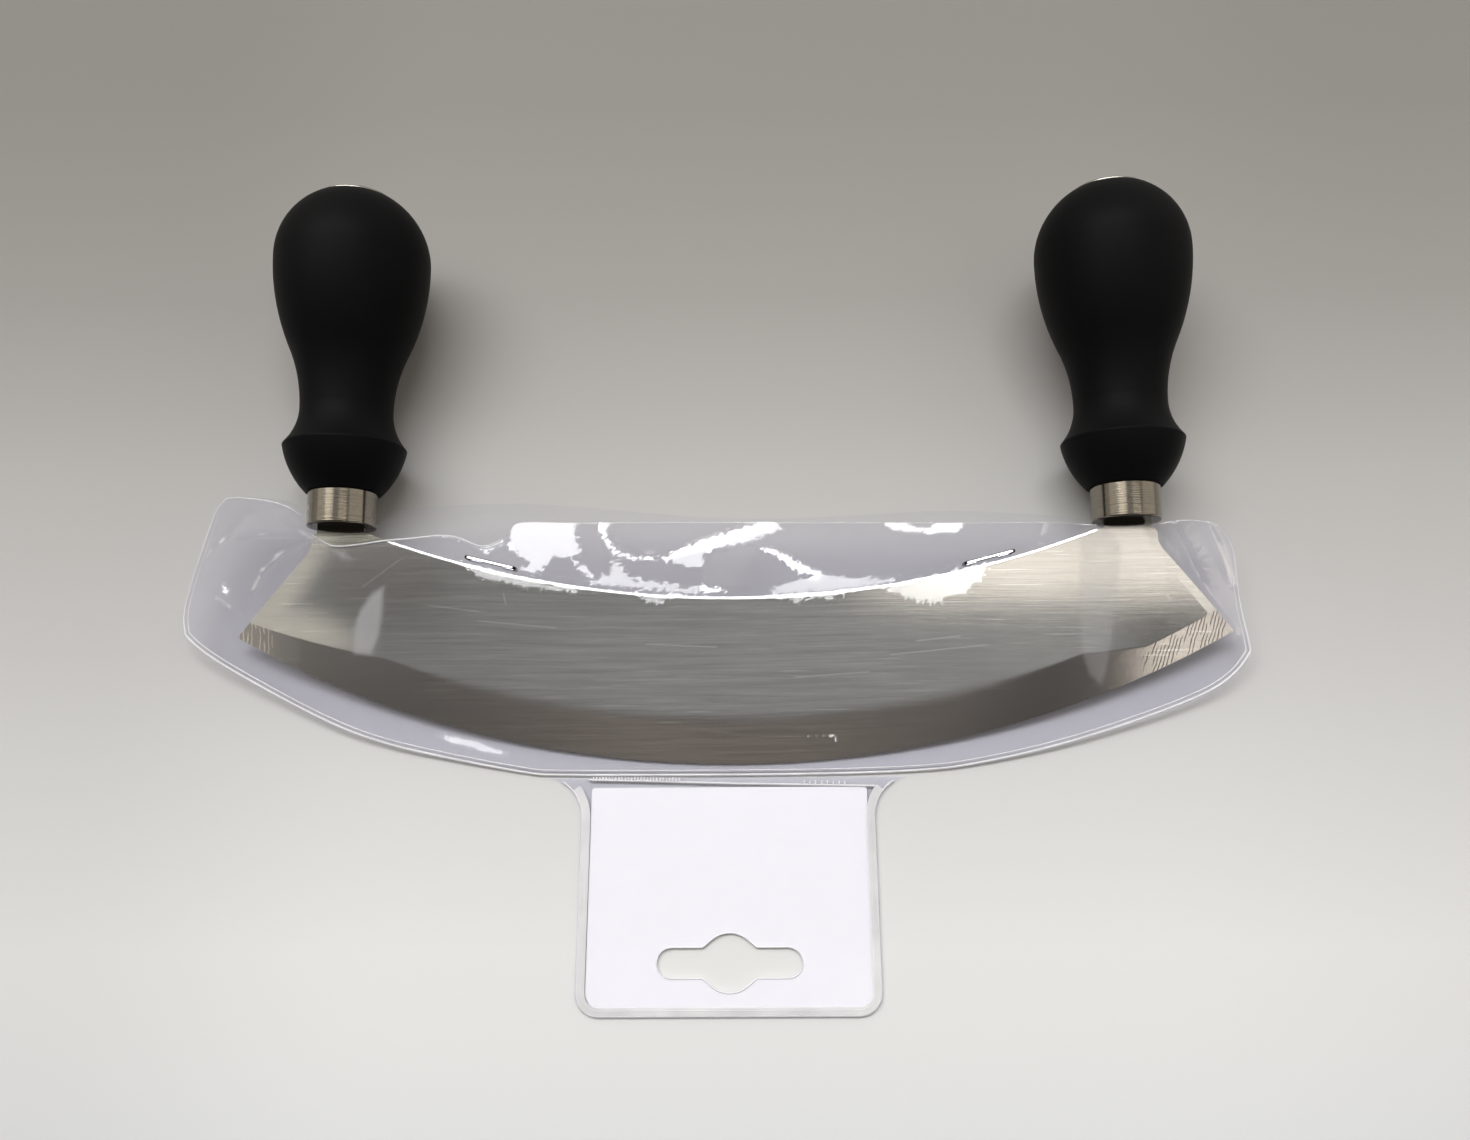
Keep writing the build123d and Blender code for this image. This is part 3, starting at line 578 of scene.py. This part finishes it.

# where the front film tips back far enough to catch the window: outlines in mm, how ragged each one is
# and how milky; the milk and a paler body whiten each glint further, a painted highlight over the window's reflection
glints = (
    (((-52.0, 58.0), (-36.3, 58.0), (-36.8, 53.3), (-36.0, 51.1), (-35.5, 48.7), (-37.9, 47.2), (-39.8, 48.0),
      (-41.9, 47.8), (-43.3, 46.3), (-44.5, 44.6), (-46.8, 43.7), (-49.2, 44.9), (-47.9, 46.8), (-50.3, 48.3),
      (-51.7, 49.8), (-52.4, 51.7), (-52.2, 54.1)), 0.35, 0.028),
    (((-37.9, 47.6), (-35.3, 46.5), (-33.3, 44.7), (-31.8, 42.9), (-33.0, 42.2), (-35.2, 44.3),
      (-37.2, 46.0)), 0.3, 0.028),
    (((-68.5, 53.4), (-64.5, 53.0), (-59.4, 50.7), (-57.0, 50.8), (-54.2, 52.1), (-51.8, 51.2), (-50.8, 48.8),
      (-54.1, 50.8), (-56.3, 49.3), (-56.9, 48.1), (-58.9, 49.3), (-59.8, 50.0), (-64.8, 52.3),
      (-68.5, 52.7)), 0.25, 0.08),
    (((-32.2, 58.0), (-28.4, 57.0), (-29.9, 53.2), (-28.4, 50.9), (-26.0, 49.1), (-22.6, 48.0), (-19.8, 47.5),
      (-16.9, 47.5), (-13.6, 49.0), (-8.8, 50.8), (-4.1, 52.7), (0.7, 54.1), (4.2, 54.9), (8.0, 57.0), (10.4, 55.8),
      (11.9, 54.1), (8.5, 52.6), (4.2, 51.2), (-0.6, 50.0), (-4.1, 49.2), (-6.5, 48.0), (-7.2, 45.1), (-10.3, 44.9),
      (-12.7, 45.6), (-16.0, 46.8), (-20.7, 46.6), (-24.5, 46.9), (-27.9, 48.1), (-30.3, 51.0),
      (-31.8, 54.0)), 0.25, 0.018),
    (((-32.1, 42.4), (-30.7, 43.6), (-28.8, 44.3), (-28.1, 46.7), (-26.9, 47.6), (-25.7, 45.7), (-25.0, 44.3),
      (-22.6, 42.8), (-19.3, 42.3), (-16.0, 41.8), (-13.1, 41.3), (-11.2, 40.3), (-8.9, 40.8), (-7.0, 41.1),
      (-4.1, 40.3), (-1.8, 39.8), (-6.5, 38.8), (-13.6, 39.0), (-20.7, 39.8), (-25.4, 40.3), (-30.2, 40.8),
      (-33.0, 41.2)), 0.5, 0.0),
    (((6.1, 49.5), (8.9, 49.6), (12.2, 48.2), (16.0, 46.0), (18.8, 44.5), (22.6, 43.5), (18.8, 42.9), (15.0, 43.4),
      (12.2, 45.4), (9.9, 47.5), (6.5, 48.8)), 0.3, 0.02),
    (((7.9, 38.9), (10.2, 40.6), (12.6, 41.3), (15.0, 42.5), (18.8, 43.4), (22.6, 43.4), (26.4, 42.6), (30.1, 42.3),
      (34.8, 42.1), (38.6, 41.8), (34.8, 40.6), (27.7, 39.6), (18.7, 38.9), (10.2, 38.3)), 0.35, 0.0),
    (((8.3, 38.2), (18.7, 38.6), (27.4, 39.9), (27.4, 39.2), (22.9, 37.3), (18.7, 37.1), (14.9, 36.7),
      (12.1, 37.1)), 0.4, 0.0),
    (((33.8, 40.4), (39.4, 41.4), (46.5, 43.0), (59.3, 46.4), (58.3, 42.5), (55.9, 40.2), (53.0, 38.3), (48.7, 36.9),
      (45.4, 35.9), (42.2, 36.5), (38.9, 37.9), (36.1, 38.4)), 0.45, 0.0),
    (((34.7, 57.0), (35.4, 54.6), (37.5, 53.3), (41.8, 52.9), (45.1, 52.6), (48.4, 52.7), (51.7, 52.7), (53.7, 53.9),
      (54.6, 57.0), (47.4, 57.0), (47.1, 55.3), (45.1, 54.2), (42.8, 54.5), (41.2, 55.3), (40.9, 57.0)), 0.1, 0.05),
    (((-63.9, 46.9), (-57.2, 45.3), (-49.1, 43.2), (-39.6, 41.2), (-32.0, 39.9), (-32.0, 39.4), (-39.6, 39.5),
      (-46.7, 40.3), (-52.4, 41.5), (-58.6, 42.6), (-61.0, 44.2)), 0.35, 0.0),
    (((-22.5, 38.6), (-14.0, 38.2), (-16.9, 36.2), (-20.6, 37.2)), 0.4, 0.0),
    (((-119.5, 42.0), (-118.6, 42.6), (-117.6, 40.6), (-118.0, 39.6), (-119.0, 40.2)), 0.25, 0.12),
    (((-121.8, 40.6), (-120.8, 39.6), (-116.8, 36.8), (-117.4, 36.4), (-120.2, 38.2)), 0.2, 0.03),
    (((99.4, 38.2), (100.6, 38.0), (100.4, 37.2), (99.6, 37.3)), 0.1, 0.12),
    (((15.0, 7.2), (25.2, 6.4), (24.8, 5.2), (15.8, 6.2)), 0.3, 0.0),
    (((101.8, 55.8), (102.9, 55.9), (102.7, 55.0), (101.9, 55.0)), 0.1, 0.08),
)
# broader ones: 0 where the window is caught, below 0 where the film is only clearer
sheens = (
    (((-122.0, 42.4), (-119.5, 44.4), (-118.2, 41.9), (-115.7, 38.3), (-114.3, 35.6), (-117.0, 36.5), (-119.8, 38.8),
      (-121.5, 40.8)), 0.2, -0.1),
    (((-124.8, 40.1), (-125.1, 37.4), (-124.0, 34.8), (-113.6, 31.1), (-110.6, 34.7), (-113.8, 35.1), (-119.7, 37.4),
      (-123.0, 40.1)), 0.4, -0.12),
    (((-72.8, 8.6), (-66.0, 8.0), (-58.0, 6.2), (-51.1, 3.4), (-47.4, 0.9), (-53.3, 1.2), (-64.8, 4.2)), 0.3, 0.0),
)
# where it is cloudier, or stands off the steel and shows as a paler sheen, painted in as a pale, cloudy body:
# outlines in mm and strength
hazes = (
    (((-81.3, 41.1), (-81.3, 34.4), (-81.8, 29.9), (-83.4, 25.5), (-87.4, 25.6), (-87.8, 31.3), (-86.4, 35.7),
      (-83.9, 39.3)), 0.9),
    (((-93.3, 49.7), (-91.1, 49.7), (-88.5, 47.4), (-91.4, 47.7)), 0.6),
    (((81.1, 55.0), (80.1, 40.3), (79.6, 31.4), (79.7, 24.8), (81.2, 20.0), (83.7, 17.0), (84.9, 20.4), (86.4, 27.0),
      (87.6, 33.6), (89.5, 44.7), (89.8, 50.2), (86.0, 55.0)), 0.26),
    (((-7.7, 51.3), (-0.6, 49.8), (4.2, 51.2), (5.6, 49.3), (3.2, 44.9), (1.3, 42.6), (4.1, 39.7), (-3.0, 38.8),
      (-6.8, 38.8), (-7.7, 44.6), (-4.9, 47.4)), 0.25),
)


def sampled(points, count):
    spots = np.array(points, float)
    reach = np.concatenate([[0], np.cumsum(np.hypot(*np.diff(spots, axis=0).T))])
    at = np.linspace(0, reach[-1], count)
    return np.stack([np.interp(at, reach, spots[:, k]) for k in (0, 1)], 1)


def rounded(points, passes=3):  # corner cutting, which keeps the ends
    spots = np.array(points, float)
    for _ in range(passes):
        near, far = spots[:-1] * 0.75 + spots[1:] * 0.25, spots[:-1] * 0.25 + spots[1:] * 0.75
        inner = np.empty((2 * len(near), 2))
        inner[0::2], inner[1::2] = near, far
        spots = np.vstack([spots[:1], inner, spots[-1:]])
    return spots


def gapTo(line, places):  # least distance from each place to a broken line
    best = np.full(len(places), 1e9)
    for a, b in zip(line[:-1], line[1:]):
        run = b - a
        share = np.clip(((places - a) @ run) / max(run @ run, 1e-9), 0, 1)
        best = np.minimum(best, np.hypot(*(places - a - share[:, None] * run).T))
    return best


backSag = blade["shoulderHeight"] - blade["backHeight"]
backRadius = (blade["shoulderIn"] ** 2 + backSag ** 2) / (2 * backSag)


def outsideBlade(places):  # distance outside the blade's outline, 0 on it
    x, y = np.abs(places[:, 0]), places[:, 1]
    edge = np.hypot(places[:, 0], y - blade["edgeRadius"]) - blade["edgeRadius"]
    back = backRadius - np.hypot(places[:, 0], y - blade["backHeight"] - backRadius)
    back = np.where(x < blade["shoulderIn"], back, y - blade["shoulderHeight"])
    slope = Vector((blade["kneeHeight"] - blade["tipRise"], blade["tip"] - blade["shoulderOut"])).normalized()
    side = (x - blade["tip"]) * slope.x + (y - blade["tipRise"]) * slope.y
    return np.maximum(np.maximum(edge, back), np.maximum(side, 0))


def insideOutline(places, points, soft, ragged):  # 1 inside a closed outline, 0 outside
    ring = np.array(points + points[:1], float)
    gap = gapTo(ring, places)
    held = np.zeros(len(places), bool)
    for (ax, ay), (bx, by) in zip(ring[:-1], ring[1:]):
        crossed = (ay > places[:, 1]) != (by > places[:, 1])
        held ^= crossed & (places[:, 0] < (bx - ax) * (places[:, 1] - ay) / (by - ay if by != ay else 1e-9) + ax)
    near = gap < 3
    depth = np.where(held, gap, -gap)
    depth[near] += ragged * np.array([noise.noise(Vector((x * 0.8, y * 1.3, 2.0)))
                                      + noise.noise(Vector((x * 2.1, y * 2.9, 7.0))) for x, y in places[near]])
    return np.clip(depth / soft * 0.5 + 0.5, 0, 1)


def backLine(x):  # the blade's back, mm
    out = np.minimum(np.abs(x), blade["shoulderIn"])
    return blade["backHeight"] + backRadius - np.sqrt(backRadius ** 2 - out ** 2)


def filmHeight(places, welded, side):  # mm off the blade's middle plane
    toWeld = gapTo(welded[::2], places)
    away = outsideBlade(places)
    lift = blade["half"] + pocket["over"]
    height = pocket["rest"] + (lift - pocket["rest"]) * np.exp(-(away / pocket["fall"]) ** 2)
    behind = (places[:, 1] > 37) & (np.abs(places[:, 0]) < blade["shoulderOut"])
    drops = np.array(pocket["drops"])
    drop, reach, slope = [np.interp(places[:, 0], drops[:, 0], drops[:, k]) for k in (1, 2, 3)]
    past = np.maximum(away - pocket["room"], 0)  # room for the sheath's play on the blade
    height = np.where(behind, lift - drop * (1 - np.exp(-(past / reach) ** 2)) - slope * past, height)
    slack = np.clip(away / 2.5, 0, 1) * np.clip(toWeld / 4, 0, 1) * (0.3 if side > 0 else 0.8)
    for a, b, size, width in pocket["creases"] if side > 0 else ():
        gap = gapTo(np.array((a, b)), places)
        height += size * np.exp(-(gap / width) ** 2) * np.clip(away / 1.2, 0, 1)
    height += slack * np.array([noise.noise(Vector((x / 13, y / 9, 3.7 * side))) * 0.6
                                + noise.noise(Vector((x / 4, y / 3, 9.1))) * 0.12 for x, y in places])
    height = np.where(away < np.where(behind, pocket["room"] + 0.1, 0.4), np.maximum(height, lift - 0.1), height)
    if side < 0:
        sag, reach, slope = pocket["sag"]  # it hangs lower behind the blade's back
        height = np.where(behind, height + slope * away + sag * np.clip(away / reach, 0, 1), height)
    seam = pocket["seam"]  # the films close up to each other towards the weld
    height = np.where(toWeld < seam, np.maximum(height * np.clip(toWeld / seam, 0, 1), pocket["seamHeight"]), height)
    return np.where(behind & (toWeld > seam), height, np.maximum(height, 0.1))


def makePocketFilm(name, mouthPoints, side):  # side is 1 for the front film and -1 for the rear one
    rim, mouth = rounded(pocket["rim"]), rounded(mouthPoints, 2)
    left, right = rounded(pocket["left"]), rounded(pocket["right"])
    bm = bmesh.new()
    bmesh.ops.create_grid(bm, x_segments=pocket["columns"], y_segments=pocket["rows"], size=0.5)
    bm.verts.ensure_lookup_table()
    grid = np.array([v.co for v in bm.verts]) + 0.5
    s, t = grid[:, 0], grid[:, 1]
    lowX = rim[0, 0] + s * (rim[-1, 0] - rim[0, 0])
    topX = mouth[0, 0] + s * (mouth[-1, 0] - mouth[0, 0])
    low, top = np.interp(lowX, rim[:, 0], rim[:, 1]), np.interp(topX, mouth[:, 0], mouth[:, 1])
    # more rows behind the blade's back, where the film shows its folds
    middle = np.clip((backLine(lowX) - 1.5 - low) / (top - low), 0.4, 0.75)
    middle = 0.5 + (middle - 0.5) * np.clip((102 - np.abs(lowX)) / 12, 0, 1)
    t = np.where(t < 0.4, t / 0.4 * middle, middle + (t - 0.4) / 0.6 * (1 - middle))
    leftX = np.interp(t * left[-1, 1] + (1 - t) * left[0, 1], left[:, 1], left[:, 0])
    rightX = np.interp(t * right[-1, 1] + (1 - t) * right[0, 1], right[:, 1], right[:, 0])
    places = np.stack([leftX + s * (rightX - leftX), low + t * (top - low)], 1)
    welded = np.vstack([left[::-1][:-3], rim, right[:-2]])
    height = filmHeight(places, welded, side)
    for v, (x, y), h in zip(bm.verts, places, height):
        v.co = onBlade(x, y, side * h)
        v.co.z = max(v.co.z, 0.00018 + pocket["thickness"] / 1000)
    if side < 0:
        bmesh.ops.reverse_faces(bm, faces=bm.faces)
    bm.normal_update()
    bmesh.ops.solidify(bm, geom=bm.faces, thickness=pocket["thickness"] / 1000)
    mesh = bpy.data.meshes.new(name)
    bm.to_mesh(mesh)
    bm.free()
    mesh.polygons.foreach_set("use_smooth", [True] * len(mesh.polygons))
    piece = newObject(name, mesh)
    mesh.materials.append(film)
    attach(piece, "sheath")
    return piece


# tips the front film's shading where it catches the window, and marks where each film is cloudy and where pale;
# the pale, cloudy film on the glints, hazes and creases is partly painted highlight and sheen
def layFilm(piece, front):
    mesh = piece.data
    spots, normals = np.empty(len(mesh.vertices) * 3), np.empty(len(mesh.vertices) * 3)
    mesh.vertices.foreach_get("co", spots)
    mesh.vertices.foreach_get("normal", normals)
    spots, normals = spots.reshape(-1, 3), normals.reshape(-1, 3)
    back, up = np.array((0, math.cos(lean), math.sin(lean))), np.array((0, -math.sin(lean), math.cos(lean)))
    start = np.array(onBlade(0, 0, 0))
    places = np.stack([(spots - start)[:, 0], (spots - start) @ back], 1) * 1000
    behind = places[:, 1] - backLine(places[:, 0])
    # it is caught first in a thin line just in front of the blade's back, which is also made milky and pale, partly a
    # painted highlight
    caught = np.clip(1.8 - np.abs(behind + 0.15) / 0.25, 0, 1) * (np.abs(places[:, 0]) < pocket["straight"]) * front
    milky, faint = 0.6 * caught, 0 * caught
    for points, ragged, milk in glints if front else ():
        cover = insideOutline(places, points, 0.7, 0.35 + 2.2 * ragged)
        caught, milky = np.maximum(caught, cover), np.maximum(milky, milk * cover)
    for points, ragged, milk in sheens if front else ():
        cover = insideOutline(places, points, 1.6, ragged)
        caught, faint = np.maximum(caught, cover * (milk == 0)), np.maximum(faint, -milk * cover)
    facing = normals @ up
    sign = np.sign(facing)[:, None]
    flatter = pocket["calm"] if front else 0.96
    calm = normals * (1 - flatter) + up * sign * flatter
    calm /= np.linalg.norm(calm, axis=1)[:, None]
    target = up + np.outer(pocket["tipBack"] - pocket["tipLess"] * places[:, 1], back)
    target /= np.linalg.norm(target, axis=1)[:, None]
    lay = calm * (1 - caught)[:, None] + target * sign * caught[:, None]
    lay[:, 0] += pocket["inward"] * places[:, 0] / 262 * np.sign(facing) * (1 - caught)  # dished towards the middle
    lay = np.where((np.abs(facing) > 0.5)[:, None], lay, normals)
    lay /= np.linalg.norm(lay, axis=1)[:, None]
    mesh.normals_split_custom_set_from_vertices(lay)
    away = outsideBlade(places)
    low = np.clip(away - 0.3, 0, 1) * np.clip((44 - places[:, 1]) / 12, 0, 1)
    land = np.clip(2 - gapTo(weldLine[::3], places) / 0.7, 0, 1)
    cloudy = np.maximum(0.08 * (1 - low) * (np.abs(places[:, 0]) > 100), milky)
    paler = np.maximum(np.maximum(low, land), caught)
    for points, strength in hazes if front else ():
        cover = insideOutline(places, points, 0.6, 0.1)
        cloudy, paler = np.maximum(cloudy, strength * cover), np.maximum(paler, cover)
    # the creases are made cloudier and paler along their length, partly a painted sheen over their folds
    for a, b, size, width in pocket["creases"] if front else ():
        fold = np.exp(-(gapTo(np.array((a, b)), places) / width * 1.6) ** 2)
        cloudy, paler = np.maximum(cloudy, 0.9 * max(size, 0) * fold), np.maximum(paler, fold)
    if front:  # clearest below the edge
        cloudy -= np.maximum(pocket["clear"] * low, faint) * (1 - caught)
    mesh.attributes.new("haze", "FLOAT", "POINT").data.foreach_set("value", cloudy)
    mesh.attributes.new("pale", "FLOAT", "POINT").data.foreach_set("value", paler)


def makeBeads(name, runs, radius, body, closed=False, widths=None):  # round beads of clear plastic
    data = bpy.data.curves.new(name, "CURVE")
    data.dimensions, data.bevel_depth, data.bevel_resolution = "3D", radius / 1000, 2
    for points in runs:
        line = data.splines.new("POLY")
        line.points.add(len(points) - 1)
        for spot, place, width in zip(line.points, points, widths or [1.0] * len(points)):
            spot.co, spot.radius = (*place, 1.0), width
        line.use_cyclic_u = closed
        line.use_smooth = True
    data.use_fill_caps = True
    data.materials.append(bead)
    piece = newObject(name, data)
    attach(piece, body)
    return piece


weldLine = np.vstack([rounded(pocket["left"])[::-1], rounded(pocket["rim"])[1:], rounded(pocket["right"])[1:]])
weldLine = sampled(weldLine, 420)
frontFilm = makePocketFilm("pocketFrontFilm", pocket["frontMouth"], 1)
layFilm(frontFilm, True)
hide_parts("pocket_front_film")
rearFilm = makePocketFilm("pocketRearFilm", pocket["rearMouth"], -1)
layFilm(rearFilm, False)
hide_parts("pocket_rear_film")
print("pocket films laid")

beads = dict(rim=0.32, inner=0.14, innerGap=1.35, lip=0.2, mouthThin=0.15, thinFrom=26.0, thinTo=46.0,
             rimHeight=0.12, innerHeight=0.42, lipHeight=1.32)


def shiftedIn(line, gap):  # a line set in from the outline by gap
    run = np.gradient(line, axis=0)
    run /= np.hypot(*run.T)[:, None]
    return line + gap * np.stack([-run[:, 1], run[:, 0]], 1)


def thinned(line):  # share of the bead's full radius, less towards the mouth
    return list(np.interp(line[:, 1], (beads["thinFrom"], beads["thinTo"]), (1, beads["mouthThin"])))


outerLine = shiftedIn(weldLine, beads["rim"])
rimRun = [onBlade(x, y, beads["rimHeight"]) for x, y in outerLine]
rimWeld = makeBeads("rimWeld", [rimRun], beads["rim"], "sheath", widths=thinned(outerLine))
innerLine = shiftedIn(sampled(weldLine, 240), beads["innerGap"])[3:-3]
innerRun = [onBlade(x, y, beads["innerHeight"]) for x, y in innerLine]
innerWeld = makeBeads("innerWeld", [innerRun], beads["inner"], "sheath", widths=thinned(innerLine))
lipLine = sampled(rounded([p for p in pocket["frontMouth"] if -98.5 < p[0] < -53], 2), 90)
lipRun = [onBlade(x, y, beads["lipHeight"]) for x, y in lipLine]
mouthLip = makeBeads("mouthLip", [lipRun], beads["lip"], "sheath")
print("welds made")

# header tab: two films round the card

tab = dict(width=65.9, length=51.0, offset=-1.45, root=9.0, corner=5.0,
           slotOffset=-1.2, slotWidth=31.7, slotHeight=6.4, slotFromEnd=11.0,
           slotRound=6.2, slotFoot=5.83, slotLift=40,  # the bulges in the slot's middle
           low=0.06, high=0.98, film=0.2, haze=-0.02, margin=2.1)


def arcPoints(centre, radius, start, end, count=10):
    turns = np.radians(np.linspace(start, end, count))
    return [(centre[0] + radius * math.cos(a), centre[1] + radius * math.sin(a)) for a in turns]


def tabOutline():
    half, root, corner, end = tab["width"] / 2, tab["root"], tab["corner"], -tab["length"]
    x = tab["offset"]
    points = arcPoints((x + half + root, -root), root, 100, 180)
    points += arcPoints((x + half - corner, end + corner), corner, 0, -90)
    points += arcPoints((x - half + corner, end + corner), corner, -90, -180)
    points += arcPoints((x - half - root, -root), root, 0, 80)
    return points


def slotOutline():
    x, y = tab["slotOffset"], tab["slotFromEnd"] - tab["length"]
    half, wing = tab["slotWidth"] / 2, tab["slotHeight"] / 2
    foot, lift = tab["slotFoot"], tab["slotLift"]
    points = []
    for way, turn in ((1, 0), (-1, 180)):  # the right wing and the upper bulge, then the left and the lower
        points += arcPoints((x + way * (half - wing), y), wing, turn - 90, turn + 90)
        points.append((x + way * foot, y + way * wing))
        points += arcPoints((x, y), tab["slotRound"], 90 + turn - lift, 90 + turn + lift)
        points.append((x - way * foot, y + way * wing))
    return points


def makeTabFilm(name, height):
    data = bpy.data.curves.new(name, "CURVE")
    data.dimensions, data.fill_mode, data.extrude = "2D", "BOTH", tab["film"] / 2000
    for points in (tabOutline(), slotOutline()):
        line = data.splines.new("POLY")
        line.points.add(len(points) - 1)
        for spot, (x, y) in zip(line.points, points):
            spot.co = (x / 1000, y / 1000, 0, 1)
        line.use_cyclic_u = True
    flat = newObject(name + "Line", data)
    mesh = bpy.data.meshes.new_from_object(flat)
    bpy.data.objects.remove(flat)
    mesh.transform(Matrix.Translation(onTab(0, 0, height)))
    mesh.attributes.new("pale", "FLOAT", "POINT").data.foreach_set("value", [1.0] * len(mesh.vertices))
    mesh.attributes.new("haze", "FLOAT", "POINT").data.foreach_set("value", [tab["haze"]] * len(mesh.vertices))
    mesh.materials.clear()
    mesh.materials.append(film)
    piece = newObject(name, mesh)
    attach(piece, "tab")
    return piece


frontTab = makeTabFilm("tabFrontFilm", tab["high"])
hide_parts("tab_front_film")
rearTab = makeTabFilm("tabRearFilm", tab["low"] + 0.1)
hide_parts("tab_rear_film")

tabLine = sampled(np.array(tabOutline())[::-1], 220)


def makeMargin():  # the welded margin round the card, paler than the open film
    bm = bmesh.new()
    rows = []
    for gap in (0.36, tab["margin"]):
        line = shiftedIn(tabLine, gap)[8:-8]
        rows.append([bm.verts.new(onTab(x, y, tab["high"] + 0.11)) for x, y in line])
    for k in range(len(rows[0]) - 1):
        bm.faces.new((rows[0][k], rows[0][k + 1], rows[1][k + 1], rows[1][k]))
    mesh = bpy.data.meshes.new("tabMargin")
    bm.to_mesh(mesh)
    bm.free()
    mesh.materials.append(bead)
    piece = newObject("tabMargin", mesh)
    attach(piece, "tab")
    return piece


margin = makeMargin()
tabBead = dict(rim=0.24, inner=0.1, innerGap=1.35, slot=0.14, header=0.26,
               rimHeight=0.74, innerHeight=1.06, slotHeight=0.92, headerHeight=0.95,
               headerLine=((-33.0, -0.5), (0, -1.5), (31.5, -2.2)))
outer, inner = shiftedIn(tabLine, tabBead["rim"])[4:-4], shiftedIn(tabLine, tabBead["innerGap"])[16:-16]
outer = [onTab(x, y, tabBead["rimHeight"]) for x, y in outer]
inner = [onTab(x, y, tabBead["innerHeight"]) for x, y in inner]
slot = [onTab(x, y, tabBead["slotHeight"]) for x, y in slotOutline()]
header = [onTab(x, y, tabBead["headerHeight"]) for x, y in tabBead["headerLine"]]
tabWeld = makeBeads("tabWeld", [outer], tabBead["rim"], "tab")
tabInnerWeld = makeBeads("tabInnerWeld", [inner], tabBead["inner"], "tab")
slotRim = makeBeads("slotRim", [slot], tabBead["slot"], "tab", closed=True)
headerWeld = makeBeads("headerWeld", [header], tabBead["header"], "tab")
# left and right rows of marks: from, to and step along x
crimps = dict(left=(-32.0, -12.3, 0.72), right=(15.7, 25.2, 1.3), length=0.9, slant=0.15, radius=0.2, height=1.12)
marks = []
for start, end, step in (crimps["left"], crimps["right"]):
    for x in np.arange(start, end, step):
        y = -0.35 - 0.012 * (x + 32) if x < 0 else -1.3 - 0.02 * (x - 15)
        near, far = y - crimps["length"] / 2, y + crimps["length"] / 2
        marks.append((onTab(x, near, crimps["height"]), onTab(x + crimps["slant"], far, crimps["height"])))
crimpMarks = makeBeads("crimpMarks", marks, crimps["radius"], "tab")
print("header tab made")
